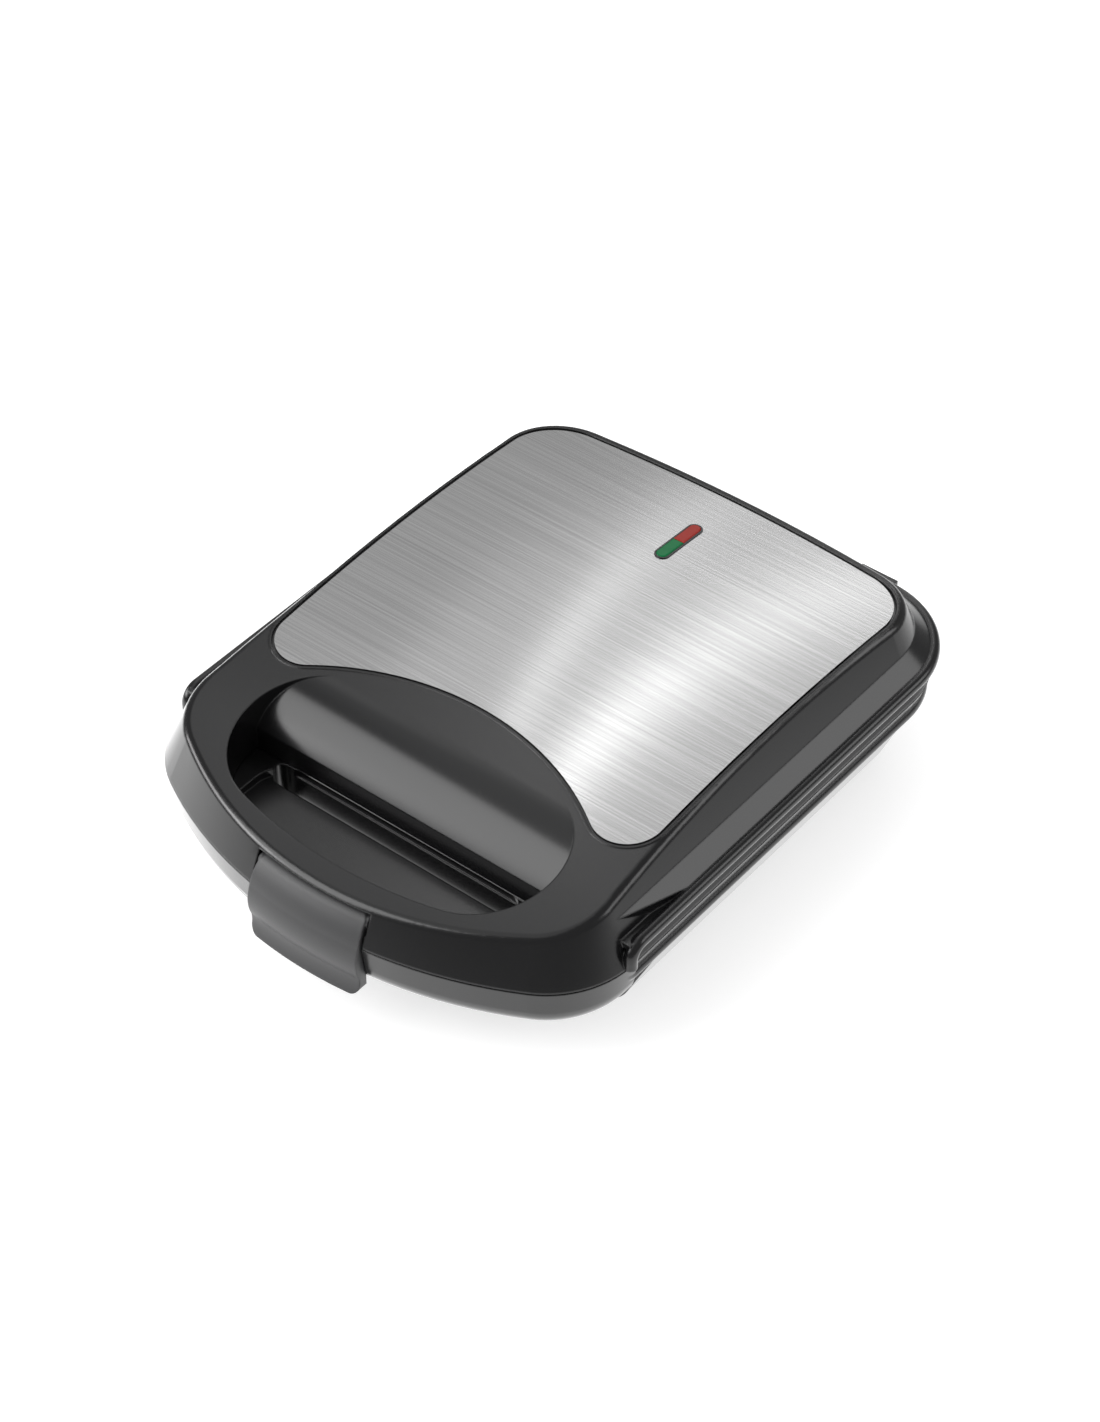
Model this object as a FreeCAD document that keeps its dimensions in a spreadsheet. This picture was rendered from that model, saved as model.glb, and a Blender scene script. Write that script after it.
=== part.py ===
"""Donut maker: a closed clamshell press with a latched lid, as separate pieces in millimetres.

X is to the right, Y to the back and Z up. The origin is on the table, under the middle of the part.
"""
import FreeCAD, Part
import Sketcher
import math
import os
import re

Vector = FreeCAD.Vector

# Driving dimensions, each with what it measures
SIZES = (
    ("overall_depth", 303, "front of the latch to the back of the hinge"),
    ("body_width", 225, "width of both housings at the parting line"),
    ("total_height", 82, "table to the crown of the lid"),
    ("parting_height", 48, "table to the parting line"),
    ("parting_gap", 0.6, "open line between lid and base"),
    ("wall", 2.6, "thickness of the housing walls"),
    ("cut_margin", 6, "how far a cutting tool runs past a face"),
    ("slip", 0.3, "gap between pieces that sit beside each other"),
    ("front_radius", 187, "plan radius of the front"),
    ("front_corner", 42, "plan radius of the front corners"),
    ("rear_radius", 780, "plan radius of the bowed back"),
    ("rear_corner", 41, "plan radius of the back corners"),
    ("crown_radius", 805, "radius of the lid's crown, seen from the side"),
    ("lid_lean", 0.44, "how far the lid's wall leans in for each unit of height"),
    ("lid_edge_radius", 4, "round between the lid's top and its wall"),
    ("lip_lean", 0.15, "how far the front lip leans in for each unit of depth"),
    ("base_lean", 0.3, "how far the base's wall leans in for each unit of depth"),
    ("panel_setback", 177.6, "front of the body to the middle of the panel"),
    ("panel_width", 190.8, "width of the steel panel"),
    ("panel_rear", 95.4, "middle of the panel to its back edge"),
    ("panel_front", 94.4, "middle of the panel to the front of its lobes"),
    ("panel_corner", 24.5, "back corners of the panel"),
    ("panel_rear_radius", 759, "bow of the panel's back edge"),
    ("panel_lobe", 15.3, "round of the panel's two front lobes"),
    ("panel_arc", 127.2, "hollow arc of the panel's front edge"),
    ("panel_thickness", 0.8, "sheet of the steel panel"),
    ("panel_seat", 0.05, "fit below the steel panel"),
    ("panel_groove", 1.1, "open groove round the steel panel"),
    ("panel_bead", 1.1, "width of the raised bead round the groove"),
    ("panel_bead_rise", 0.35, "height of that bead"),
    ("recess_setback", 56.9, "front of the body to the middle of the handle recess"),
    ("recess_width", 153, "width of the handle recess"),
    ("recess_end", 35, "round ends of the handle recess"),
    ("recess_front", 216, "plan radius of the recess's front edge"),
    ("ridge_setback", 88, "front of the body to where the recess begins to roll down"),
    ("slope_foot", 59.6, "front of the body to the foot of the recess's back slope"),
    ("slope_drop", 22.8, "crown of the lid down to the foot of the slope"),
    ("belt_setback", 58.2, "front of the body to the ends of the side beads"),
    ("belt_bend", 6, "bend of a side bead where it turns to the parting line"),
    ("lid_belt_drop", 24.1, "crown of the lid down to its side bead"),
    ("lid_belt_radius", 2.8, "round section of the lid's side bead"),
    ("lid_flare", 9, "height of the flare above the lid's side bead"),
    ("flare_run", 45, "length over which the flare grows from the front"),
    ("base_belt_drop", 9.2, "parting line down to the base's side bead"),
    ("base_belt_radius", 3, "round section of the base's side bead"),
    ("base_belt_inset", 3.9, "base's side bead in from the parting outline"),
    ("lip_depth", 24, "depth of the base's front lip"),
    ("lip_round", 14, "round below the front lip"),
    ("body_front", 60.6, "front of the body to the front of the base's tub"),
    ("tub_top", 36, "height where the base's tub begins to lean in more"),
    ("tub_corner", 34, "front corners of the room for the lower plate"),
    ("tub_foot_corner", 52, "front corners of the tub below that"),
    ("tub_round", 6, "round between the tub's wall and its floor"),
    ("tub_lean", 0.42, "lean of the tub below that height"),
    ("shelf_drop", 4, "parting line down to the shelf in the base's lip"),
    ("shelf_rear", 52, "front of the body to the back edge of the shelf"),
    ("shelf_rim", 6, "rim round the shelf"),
    ("shelf_half", 66, "middle to the ends of the shelf"),
    ("shelf_corner", 14, "round of the shelf's back corners"),
    ("slot_width", 128, "width of the finger slot behind the shelf"),
    ("foot_height", 5, "base above the table"),
    ("foot_radius", 8, "radius of a foot"),
    ("foot_taper", 1, "foot narrower at the table than at the base"),
    ("foot_stem", 3, "radius of a foot's stem"),
    ("foot_spread", 150, "distance between the feet, side to side"),
    ("foot_front", 80, "front of the body to the front feet"),
    ("foot_rear", 36, "back of the body to the rear feet"),
    ("plate_side", 6, "edge of a plate in from the parting outline, at the sides"),
    ("plate_rear", 11, "edge of a plate in from the back"),
    ("plate_front", 64.5, "front of the body to the front of a plate"),
    ("plate_corner", 34, "corners of a plate"),
    ("plate_thickness", 3.5, "flange of a plate"),
    ("plate_wall", 2.2, "wall of a ring cavity"),
    ("ring_radius", 29, "middle of a ring cavity to the middle of its groove"),
    ("groove_radius", 14, "section of a ring cavity"),
    ("ring_pitch_x", 100, "ring to ring, side to side"),
    ("ring_pitch_y", 104, "ring to ring, front to back"),
    ("post_radius", 4.5, "posts on a plate that the screws go through"),
    ("post_depth", 17, "face of a plate to the ends of its posts"),
    ("post_x", 86, "middle of a plate to its side posts"),
    ("post_y", 90, "middle of a plate to its front and back posts"),
    ("screw_radius", 2, "shank of a plate screw"),
    ("screw_head", 3.8, "head of a plate screw"),
    ("screw_grip", 8, "length of a screw inside its boss"),
    ("screw_fit", 0.05, "gap round a screw"),
    ("reflector_sheet", 0.6, "sheet of a heat shield"),
    ("reflector_width", 190, "width of a heat shield"),
    ("reflector_front", 98, "middle of a plate to the front of its heat shield"),
    ("reflector_rear", 97, "middle of a plate to the back of its heat shield"),
    ("reflector_corner", 26, "corners of a heat shield"),
    ("reflector_rim", 3, "turned rim of a heat shield"),
    ("heater_radius", 3.2, "tube of a heating element"),
    ("heater_x", 99, "middle of a plate to the element's side legs"),
    ("heater_y", 100, "middle of a plate to the element's front leg"),
    ("heater_bend", 30, "bends of a heating element"),
    ("heater_tail", 60, "middle of a plate back to the element's ends"),
    ("heater_pin", 1.2, "cold pin at an element's end"),
    ("heater_pin_length", 12, "length of a cold pin"),
    ("collar_radius", 4.2, "ceramic collar on an element's end"),
    ("collar_length", 9, "length of a ceramic collar"),
    ("collar_overlap", 5, "length of tube inside a collar"),
    ("clip_sheet", 0.8, "sheet of an element's saddle clip"),
    ("clip_width", 9, "width of a saddle clip"),
    ("clip_foot", 3, "foot of a saddle clip"),
    ("clip_span", 15, "middle of a plate to its clips, along the element"),
    ("thermostat_radius", 8, "body of the thermostat"),
    ("thermostat_height", 9, "height of the thermostat"),
    ("thermostat_flange", 11, "flange of the thermostat"),
    ("fuse_radius", 2, "body of the thermal fuse"),
    ("fuse_length", 12, "length of the thermal fuse"),
    ("fuse_setback", 16, "thermostat to the thermal fuse"),
    ("hinge_reach", 4.8, "back wall to the hinge axis"),
    ("hinge_drop", 8, "parting line down to the hinge axis"),
    ("hinge_spread", 116, "hinge to hinge"),
    ("knuckle_radius", 5, "round of the hinge knuckles"),
    ("knuckle_width", 18, "lid's knuckle along the pin"),
    ("ear_width", 8, "base's ear along the pin"),
    ("ear_gap", 0.4, "gap between a knuckle and an ear"),
    ("arm_sheet", 2.6, "top of a hinge arm above the lid's edge"),
    ("arm_root", 8, "root of a hinge arm up the lid's wall"),
    ("arm_gap", 0.8, "gap between a hinge arm and the base's wall"),
    ("hinge_pin", 2, "radius of a hinge pin"),
    ("pin_fit", 0.05, "running fit of a pin, on the radius"),
    ("latch_width", 55, "width of the latch"),
    ("latch_proud", 3, "latch in front of the body"),
    ("latch_bottom", 24, "table to the latch's lip"),
    ("latch_top", 60.5, "table to the top of the latch"),
    ("latch_lip", 8.8, "height of the flared lip below the latch's bowed face"),
    ("latch_back", 3.2, "front of the body to the latch's flat back"),
    ("latch_pivot_y", 9.2, "front of the body to the latch's pin"),
    ("latch_pivot_z", 56.8, "table to the latch's pin"),
    ("latch_eye", 3, "round of the latch about its pin"),
    ("latch_pin", 1.5, "radius of the latch's pin"),
    ("latch_gap", 0.6, "gap round the latch"),
    ("latch_swing", 2, "room behind the latch's eye for its swing"),
    ("latch_ear", 4, "wall at each end of the latch's pin"),
    ("latch_corner", 4, "corners of the latch's face"),
    ("latch_lift", 0.8, "room above the latch for its swing"),
    ("latch_brow", 5.6, "latch's pin forward to its brow"),
    ("latch_brow_drop", 2.5, "top of the latch down to its brow"),
    ("latch_tail", 0.9, "latch's pin back to the latch's back"),
    ("lamp_setback", 57.6, "middle of the panel back to the indicator"),
    ("lens_length", 27.4, "length of the indicator"),
    ("lens_width", 5.4, "width of the indicator"),
    ("lens_depth", 4.2, "depth of a lens below the panel"),
    ("lens_rise", 0.7, "lens above the panel"),
    ("lens_edge", 0.6, "round of a lens"),
    ("bezel_wall", 0.7, "rim round the lenses"),
    ("bezel_rise", 0.3, "rim above the panel"),
    ("bezel_fit", 0.05, "gap round the rim and round the lenses"),
    ("holder_height", 3, "lamp holder below the rim"),
    ("holder_rim", 3.6, "lamp holder past the lenses, all round"),
    ("lamp_radius", 2.5, "neon lamp"),
    ("lamp_length", 5, "length of a neon lamp"),
    ("cover_sheet", 2, "plate under the lid's handle"),
    ("cover_boss_x", 93, "screw of that plate, from the middle"),
    ("cover_boss_y", 52, "front of the body to that screw"),
    ("cover_boss", 4, "boss for that screw"),
    ("cover_screw", 1.5, "shank of that screw"),
    ("cover_screw_head", 2.8, "head of that screw"),
    ("inlet_z", 22, "table to the lead's inlet"),
    ("inlet_bore", 3.6, "hole for the lead"),
    ("inlet_sleeve", 5.4, "sleeve of the inlet in the wall"),
    ("inlet_flange", 8, "flange of the inlet"),
    ("inlet_flange_sheet", 2, "thickness of that flange"),
    ("inlet_length", 10, "sleeve through the wall"),
    ("inlet_inset", 5, "back of the body to the pad round the inlet"),
    ("inlet_pad", 11, "flat pad on the wall round the inlet"),
    ("block_length", 30, "terminal block"),
    ("block_depth", 14, "terminal block, front to back"),
    ("block_height", 11, "terminal block above the floor"),
    ("block_hole", 2, "wire holes of the terminal block"),
    ("block_setback", 38, "back of the body to the terminal block"),
    ("block_x", 40, "middle to the terminal block"),
)

doc = FreeCAD.newDocument("donut_maker")
sheet = doc.addObject("Spreadsheet::Sheet", "Sizes")
for row, (alias, number, note) in enumerate(SIZES, start=1):
    sheet.set(f"A{row}", note)
    sheet.set(f"B{row}", str(number))
    sheet.setAlias(f"B{row}", alias)
doc.recompute()
ALIASES = {alias for alias, number, note in SIZES}

# Places that follow from the driving dimensions
FRONT_Y = "(latch_proud - overall_depth / 2)"
HINGE_Y = "(overall_depth / 2 - knuckle_radius)"
REAR_Y = f"({HINGE_Y} - hinge_reach)"
PANEL_Y = f"({FRONT_Y} + panel_setback)"
LID_Z = "(parting_height + parting_gap / 2)"
BASE_Z = "(parting_height - parting_gap / 2)"
TOP_Z = "(total_height + cut_margin)"
CROWN_Z = "(total_height - crown_radius)"
HINGE_Z = "(parting_height - hinge_drop)"
LIP_Z = f"({BASE_Z} - lip_depth)"
SHELF_Z = "(parting_height - shelf_drop)"
TUB_Y = f"({FRONT_Y} + body_front)"
PLATE_Y = f"(({FRONT_Y} + plate_front + {REAR_Y} - plate_rear) / 2)"
LID_WALL = "(wall * sqrt(1 + lid_lean * lid_lean))"
BASE_WALL = "(wall * sqrt(1 + base_lean * base_lean))"
TUB_WALL = "(wall * sqrt(1 + tub_lean * tub_lean))"
LATCH_HALF = "(latch_width / 2)"
POCKET_HALF = "(latch_width / 2 + latch_gap)"
EAR_OFFSET = "(knuckle_width / 2 + ear_gap + ear_width / 2)"
PIN_LENGTH = "(knuckle_width + 2 * ear_gap + 2 * ear_width)"
WIDE = "(body_width + 8 * cut_margin)"
LONG = "(overall_depth + 8 * cut_margin)"

ALONG_X = FreeCAD.Rotation(Vector(0, 1, 0), 90)
ALONG_Y = FreeCAD.Rotation(Vector(1, 0, 0), -90)
SIDE_VIEW = FreeCAD.Rotation(Vector(1, 1, 1), 120)
SIDES = (-1, 1)
TOUCH = 0.01


def cells(text):
    """An expression in which each size's name has become its cell in the sheet."""
    return re.sub(r"[a-z_]+", lambda word: f"Sizes.{word[0]}" if word[0] in ALIASES else word[0], text)


def value(text):
    """What an expression measures now."""
    return float(sheet.evalExpression(cells(text)))


def bind(item, **sizes):
    """Tie properties of an object to expressions on the sheet."""
    for name, text in sizes.items():
        item.setExpression(name, cells(text))
    return item


def place(item, x="0", y="0", z="0", turn=None):
    """Put an object at a place that follows the sheet."""
    if turn is not None:
        item.Placement = FreeCAD.Placement(Vector(), turn)
    for axis, text in (("x", x), ("y", y), ("z", z)):
        item.setExpression(f"Placement.Base.{axis}", cells(text))
    return item


def box(name, x, y, z):
    """A block from its low and high expression along each axis."""
    item = doc.addObject("Part::Box", name)
    bind(item, Length=f"({x[1]}) - ({x[0]})", Width=f"({y[1]}) - ({y[0]})", Height=f"({z[1]}) - ({z[0]})")
    return place(item, x[0], y[0], z[0])


def cylinder(name, radius, height, x, y, z, turn=None):
    item = doc.addObject("Part::Cylinder", name)
    bind(item, Radius=radius, Height=height)
    return place(item, x, y, z, turn)


def cone(name, low, high, height, x, y, z):
    item = doc.addObject("Part::Cone", name)
    bind(item, Radius1=low, Radius2=high, Height=height)
    return place(item, x, y, z)


def fuse(name, items):
    item = doc.addObject("Part::MultiFuse", name)
    item.Shapes = items
    return item


def common(name, items):
    item = doc.addObject("Part::MultiCommon", name)
    item.Shapes = items
    return item


def cut(name, base, tools):
    item = doc.addObject("Part::Cut", name)
    item.Base = base
    item.Tool = tools[0] if len(tools) == 1 else fuse(f"{name}_tools", tools)
    return item


def group(name, items):
    """Separate solids of one kind, kept in one node."""
    item = doc.addObject("Part::Compound", name)
    item.Links = items
    return item


def fillet(name, base, radius, wanted):
    """Round the edges of an object that a test picks."""
    doc.recompute()
    item = doc.addObject("Part::Fillet", name)
    item.Base = base
    size = value(radius)
    edges = [number for number, edge in enumerate(base.Shape.Edges, start=1) if wanted(edge)]
    item.Edges = [(number, size, size) for number in edges]
    return item


# Plan outlines, as lists of (curve, radius expression or None)

def line(start, end):
    return Part.LineSegment(Vector(*start), Vector(*end)), None


def arc(centre, radius, start, end):
    """A counter-clockwise arc, its radius tied to an expression."""
    circle = Part.Circle(Vector(*centre), Vector(0, 0, 1), value(radius))
    return Part.ArcOfCircle(circle, start, end), radius


def corner_angle(big, small, half):
    """Centre distance along Y, and angle, of a corner arc inside a large arc."""
    reach = math.sqrt((big - small) ** 2 - (half - small) ** 2)
    return reach, math.atan2(reach, half - small)


def shell_outline(inset):
    """Parting outline of both housings, moved in by an expression."""
    half = value("body_width / 2")
    inner = half - value(inset)
    front_reach, front_turn = corner_angle(value("front_radius"), value("front_corner"), half)
    rear_reach, rear_turn = corner_angle(value("rear_radius"), value("rear_corner"), half)
    front_centre = value(f"{FRONT_Y} + front_radius")
    rear_centre = value(f"{REAR_Y} - rear_radius")
    front_y = front_centre - front_reach
    rear_y = rear_centre + rear_reach
    front_x = half - value("front_corner")
    rear_x = half - value("rear_corner")
    return [
        line((inner, front_y, 0), (inner, rear_y, 0)),
        arc((rear_x, rear_y, 0), f"rear_corner - ({inset})", 0, rear_turn),
        arc((0, rear_centre, 0), f"rear_radius - ({inset})", rear_turn, math.pi - rear_turn),
        arc((-rear_x, rear_y, 0), f"rear_corner - ({inset})", math.pi - rear_turn, math.pi),
        line((-inner, rear_y, 0), (-inner, front_y, 0)),
        arc((-front_x, front_y, 0), f"front_corner - ({inset})", math.pi, math.pi + front_turn),
        arc((0, front_centre, 0), f"front_radius - ({inset})", math.pi + front_turn,
            2 * math.pi - front_turn),
        arc((front_x, front_y, 0), f"front_corner - ({inset})", 2 * math.pi - front_turn, 2 * math.pi),
    ]


def panel_outline(grow):
    """Outline of the steel panel, moved out by an expression."""
    half = value("panel_width / 2")
    outer = half + value(grow)
    rear_reach, rear_turn = corner_angle(value("panel_rear_radius"), value("panel_corner"), half)
    rear_centre = value(f"{PANEL_Y} + panel_rear - panel_rear_radius")
    rear_y = rear_centre + rear_reach
    rear_x = half - value("panel_corner")
    lobe_x = half - value("panel_lobe")
    lobe_y = value(f"{PANEL_Y} - panel_front + panel_lobe")
    drop = math.sqrt(value("panel_arc + panel_lobe") ** 2 - lobe_x ** 2)
    turn = math.atan2(drop, lobe_x)
    return [
        line((outer, lobe_y, 0), (outer, rear_y, 0)),
        arc((rear_x, rear_y, 0), f"panel_corner + ({grow})", 0, rear_turn),
        arc((0, rear_centre, 0), f"panel_rear_radius + ({grow})", rear_turn, math.pi - rear_turn),
        arc((-rear_x, rear_y, 0), f"panel_corner + ({grow})", math.pi - rear_turn, math.pi),
        line((-outer, rear_y, 0), (-outer, lobe_y, 0)),
        arc((-lobe_x, lobe_y, 0), f"panel_lobe + ({grow})", math.pi, 2 * math.pi - turn),
        arc((0, lobe_y - drop, 0), f"panel_arc - ({grow})", turn, math.pi - turn),
        arc((lobe_x, lobe_y, 0), f"panel_lobe + ({grow})", math.pi + turn, 2 * math.pi),
    ]


def recess_outline(grow):
    """Plan outline of the handle recess, moved out by an expression."""
    end_x = value("recess_width / 2 - recess_end")
    end_y = value(f"{FRONT_Y} + recess_setback")
    rear_y = end_y + value(f"recess_end + ({grow})")
    reach = math.sqrt(value("recess_front - recess_end") ** 2 - end_x ** 2)
    turn = math.atan2(reach, end_x)
    return [
        line((end_x, rear_y, 0), (-end_x, rear_y, 0)),
        arc((-end_x, end_y, 0), f"recess_end + ({grow})", math.pi / 2, math.pi + turn),
        arc((0, end_y + reach, 0), f"recess_front + ({grow})", math.pi + turn, 2 * math.pi - turn),
        arc((end_x, end_y, 0), f"recess_end + ({grow})", -turn, math.pi / 2),
    ]


def rounded_rectangle(half, front, rear, corner):
    """Outline of a plate: half width, front and back, and its corner radius."""
    side = value(half)
    inner = value(f"({half}) - ({corner})")
    low = value(f"({front}) + ({corner})")
    high = value(f"({rear}) - ({corner})")
    quarter = math.pi / 2
    return [
        line((side, low, 0), (side, high, 0)),
        arc((inner, high, 0), corner, 0, quarter),
        line((inner, value(rear), 0), (-inner, value(rear), 0)),
        arc((-inner, high, 0), corner, quarter, 2 * quarter),
        line((-side, high, 0), (-side, low, 0)),
        arc((-inner, low, 0), corner, 2 * quarter, 3 * quarter),
        line((-inner, value(front), 0), (inner, value(front), 0)),
        arc((inner, low, 0), corner, 3 * quarter, 4 * quarter),
    ]


def capsule(length, width, middle=0):
    """A slot outline along Y, of full length and width, about the origin or a place on Y."""
    radius = f"({width}) / 2"
    half = value(radius)
    reach = value(f"({length}) / 2 - ({width}) / 2")
    return [
        line((half, middle - reach, 0), (half, middle + reach, 0)),
        arc((0, middle + reach, 0), radius, 0, math.pi),
        line((-half, middle + reach, 0), (-half, middle - reach, 0)),
        arc((0, middle - reach, 0), radius, math.pi, 2 * math.pi),
    ]


def fill(sketch, outline):
    """Draw an outline in a sketch and tie its radii to the sheet."""
    for curve, radius in outline:
        number = sketch.addGeometry(curve)
        if radius is not None:
            size = sketch.addConstraint(Sketcher.Constraint("Radius", number, curve.Radius))
            sketch.setExpression(f"Constraints[{size}]", cells(radius))
    return sketch


def plan_sketch(name, outline, z):
    return place(fill(doc.addObject("Sketcher::SketchObject", name), outline), z=z)


def prism(name, outline, low, high):
    """A plan outline drawn up from one height to another."""
    item = doc.addObject("Part::Extrusion", name)
    item.Base = plan_sketch(f"{name}_outline", outline, low)
    item.DirMode = "Custom"
    item.Dir = Vector(0, 0, 1)
    item.Solid = True
    return bind(item, LengthFwd=f"({high}) - ({low})")


def loft(name, low_outline, low, high_outline, high):
    """A wall that leans between two like outlines."""
    item = doc.addObject("Part::Loft", name)
    item.Sections = [plan_sketch(f"{name}_low", low_outline, low),
                     plan_sketch(f"{name}_high", high_outline, high)]
    item.Solid = True
    item.Ruled = True
    return item


def side_prism(name, outline, width):
    """A side-view outline, in Y and Z, drawn out equally to both sides."""
    sketch = doc.addObject("Sketcher::SketchObject", f"{name}_outline")
    fill(sketch, outline)
    sketch.Placement = FreeCAD.Placement(Vector(), SIDE_VIEW)
    item = doc.addObject("Part::Extrusion", name)
    item.Base = sketch
    item.DirMode = "Custom"
    item.Dir = Vector(1, 0, 0)
    item.Solid = True
    item.Symmetric = True
    return bind(item, LengthFwd=width)


def crown(name, rise):
    """The big cylinder of the lid's crown, raised by an expression."""
    return cylinder(name, f"crown_radius + ({rise})", WIDE, f"-{WIDE} / 2", PANEL_Y, CROWN_Z, ALONG_X)


def body(name):
    return doc.addObject("PartDesign::Body", name)


def body_sketch(owner, name, plane, outline):
    """A sketch on one of a body's own planes."""
    sketch = owner.newObject("Sketcher::SketchObject", name)
    support = [feature for feature in owner.Origin.OriginFeatures if feature.Role == plane][0]
    sketch.AttachmentSupport = [(support, "")]
    sketch.MapMode = "FlatFace"
    return fill(sketch, outline)


def pad(owner, name, sketch, length, symmetric=False, backward=False):
    item = owner.newObject("PartDesign::Pad", name)
    item.Profile = sketch
    if symmetric:
        item.SideType = "Symmetric"
    item.Reversed = backward
    return bind(item, Length=length)


def pocket(owner, name, sketch, length, symmetric=False, backward=False):
    item = owner.newObject("PartDesign::Pocket", name)
    item.Profile = sketch
    if symmetric:
        item.SideType = "Symmetric"
    item.Reversed = backward
    return bind(item, Length=length)


def revolve(owner, name, sketch):
    """Turn a profile about the body's own Z axis."""
    item = owner.newObject("PartDesign::Revolution", name)
    item.Profile = sketch
    axis = [feature for feature in owner.Origin.OriginFeatures if feature.Role == "Z_Axis"][0]
    item.ReferenceAxis = (axis, [""])
    item.Angle = 360
    return item


def round_off(owner, name, edges, radius):
    """Round named edges of a body."""
    last = owner.Tip
    item = owner.newObject("PartDesign::Fillet", name)
    item.Base = (last, edges)
    return bind(item, Radius=radius)


def polygon(points):
    """A closed outline of straight lines through points in a sketch's plane."""
    ends = points[1:] + points[:1]
    return [line((*start, 0), (*end, 0)) for start, end in zip(points, ends)]


def three_point_arc(start, middle, end):
    return Part.Arc(Vector(*start, 0), Vector(*middle, 0), Vector(*end, 0)), None


def sweep(name, edges, radius, turn=None):
    """A round tube along edges, which start at the tube's first end."""
    path = doc.addObject("Part::Feature", f"{name}_path")
    path.Shape = Part.Wire(edges)
    ring = doc.addObject("Part::Circle", f"{name}_section")
    bind(ring, Radius=radius)
    ring.Placement = FreeCAD.Placement(edges[0].Vertexes[0].Point, turn or FreeCAD.Rotation())
    item = doc.addObject("Part::Sweep", name)
    item.Sections = [ring]
    item.Spine = (path, [f"Edge{number}" for number in range(1, len(edges) + 1)])
    item.Solid = True
    item.Frenet = True
    return item


def belt(name, inset, radius, start_z, belt_z, bend):
    """Bead along the sides and the back, which turns to the parting line at its two front ends."""
    outline = shell_outline(inset)
    x = value(f"body_width / 2 - ({inset})")
    y = value(f"{FRONT_Y} + belt_setback")
    low = value(start_z)
    level = value(belt_z)
    turn = value(bend)
    way = math.copysign(turn, level - low)
    quarter = turn * (1 - math.sqrt(0.5))
    rear_y = outline[0][0].EndPoint.y
    lift = Vector(0, 0, level)

    def end(side):
        return [
            Part.LineSegment(Vector(side * x, y, low), Vector(side * x, y, level - way)),
            Part.Arc(Vector(side * x, y, level - way),
                     Vector(side * x, y + quarter, level - way + way * math.sqrt(0.5)),
                     Vector(side * x, y + turn, level)),
            Part.LineSegment(Vector(side * x, y + turn, level), Vector(side * x, rear_y, level)),
        ]

    back = [curve.toShape() for curve, size in outline[1:4]]
    for edge in back:
        edge.translate(lift)
    right = [curve.toShape() for curve in end(1)]
    left = [curve.toShape() for curve in end(-1)]
    edges = Part.__sortEdges__(right + back + left)
    if edges[0].Vertexes[0].Point.x < 0:
        edges = Part.__sortEdges__(list(reversed(edges)))
    return sweep(name, edges, radius)


def on_crown(edge):
    """True for an edge that lies on the lid's crown."""
    middle = Vector(0, value(PANEL_Y), value(CROWN_Z))
    points = edge.discretize(5)
    offsets = [math.hypot(point.y - middle.y, point.z - middle.z) - value("crown_radius") for point in points]
    return max(abs(offset) for offset in offsets) < TOUCH


def at_height(level):
    """A test for edges that lie at one height."""
    height = value(level)
    return lambda edge: max(abs(vertex.Point.z - height) for vertex in edge.Vertexes) < TOUCH


def plate_points():
    """Places of the posts and screws of a plate, as expressions."""
    return (
        ("post_x", PLATE_Y),
        ("-post_x", PLATE_Y),
        ("0", f"{PLATE_Y} + post_y"),
        ("0", f"{PLATE_Y} - post_y"),
    )


def ring_points():
    return [(f"{x} * ring_pitch_x / 2", f"{PLATE_Y} + {y} * ring_pitch_y / 2") for x in SIDES for y in SIDES]


# The lid

def recess_profile(shrink):
    """Side view of the handle recess: the roll down from the ridge, then the drop at its foot.

    The wall of the recess keeps its thickness where the profile's roll shrinks by an expression.
    """
    ridge_y = value(f"{FRONT_Y} + ridge_setback")
    away = ridge_y - value(PANEL_Y)
    radius = value("crown_radius")
    ridge = Vector(ridge_y, value(CROWN_Z) + math.sqrt(radius ** 2 - away ** 2), 0)
    foot = Vector(value(f"{FRONT_Y} + slope_foot"), value("total_height - slope_drop"), 0)
    normal = Vector(away, ridge.y - value(CROWN_Z), 0).normalize()
    chord = foot - ridge
    roll = -chord.Length ** 2 / (2 * chord.dot(normal))
    centre = ridge - normal * roll
    inner = roll - value(shrink)
    start = math.atan2(ridge.y - centre.y, ridge.x - centre.x)
    stop = math.atan2(foot.y - centre.y, foot.x - centre.x)
    first = centre + Vector(math.cos(start), math.sin(start), 0) * inner
    half = centre + Vector(math.cos((start + stop) / 2), math.sin((start + stop) / 2), 0) * inner
    last = centre + Vector(math.cos(stop), math.sin(stop), 0) * inner
    low = value(f"{LID_Z} - cut_margin")
    high = value(TOP_Z)
    front = value(f"{FRONT_Y} - cut_margin")
    return [
        three_point_arc((first.x, first.y), (half.x, half.y), (last.x, last.y)),
        line((last.x, last.y, 0), (last.x, low, 0)),
        line((last.x, low, 0), (front, low, 0)),
        line((front, low, 0), (front, high, 0)),
        line((front, high, 0), (first.x, high, 0)),
        line((first.x, high, 0), (first.x, first.y, 0)),
    ]


def recess(name, grow):
    """Space of the handle recess, grown by an expression."""
    plan = prism(f"{name}_plan", recess_outline(grow), f"{LID_Z} - 2 * cut_margin", TOP_Z)
    return common(name, [plan, side_prism(f"{name}_side", recess_profile(grow), WIDE)])


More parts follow.
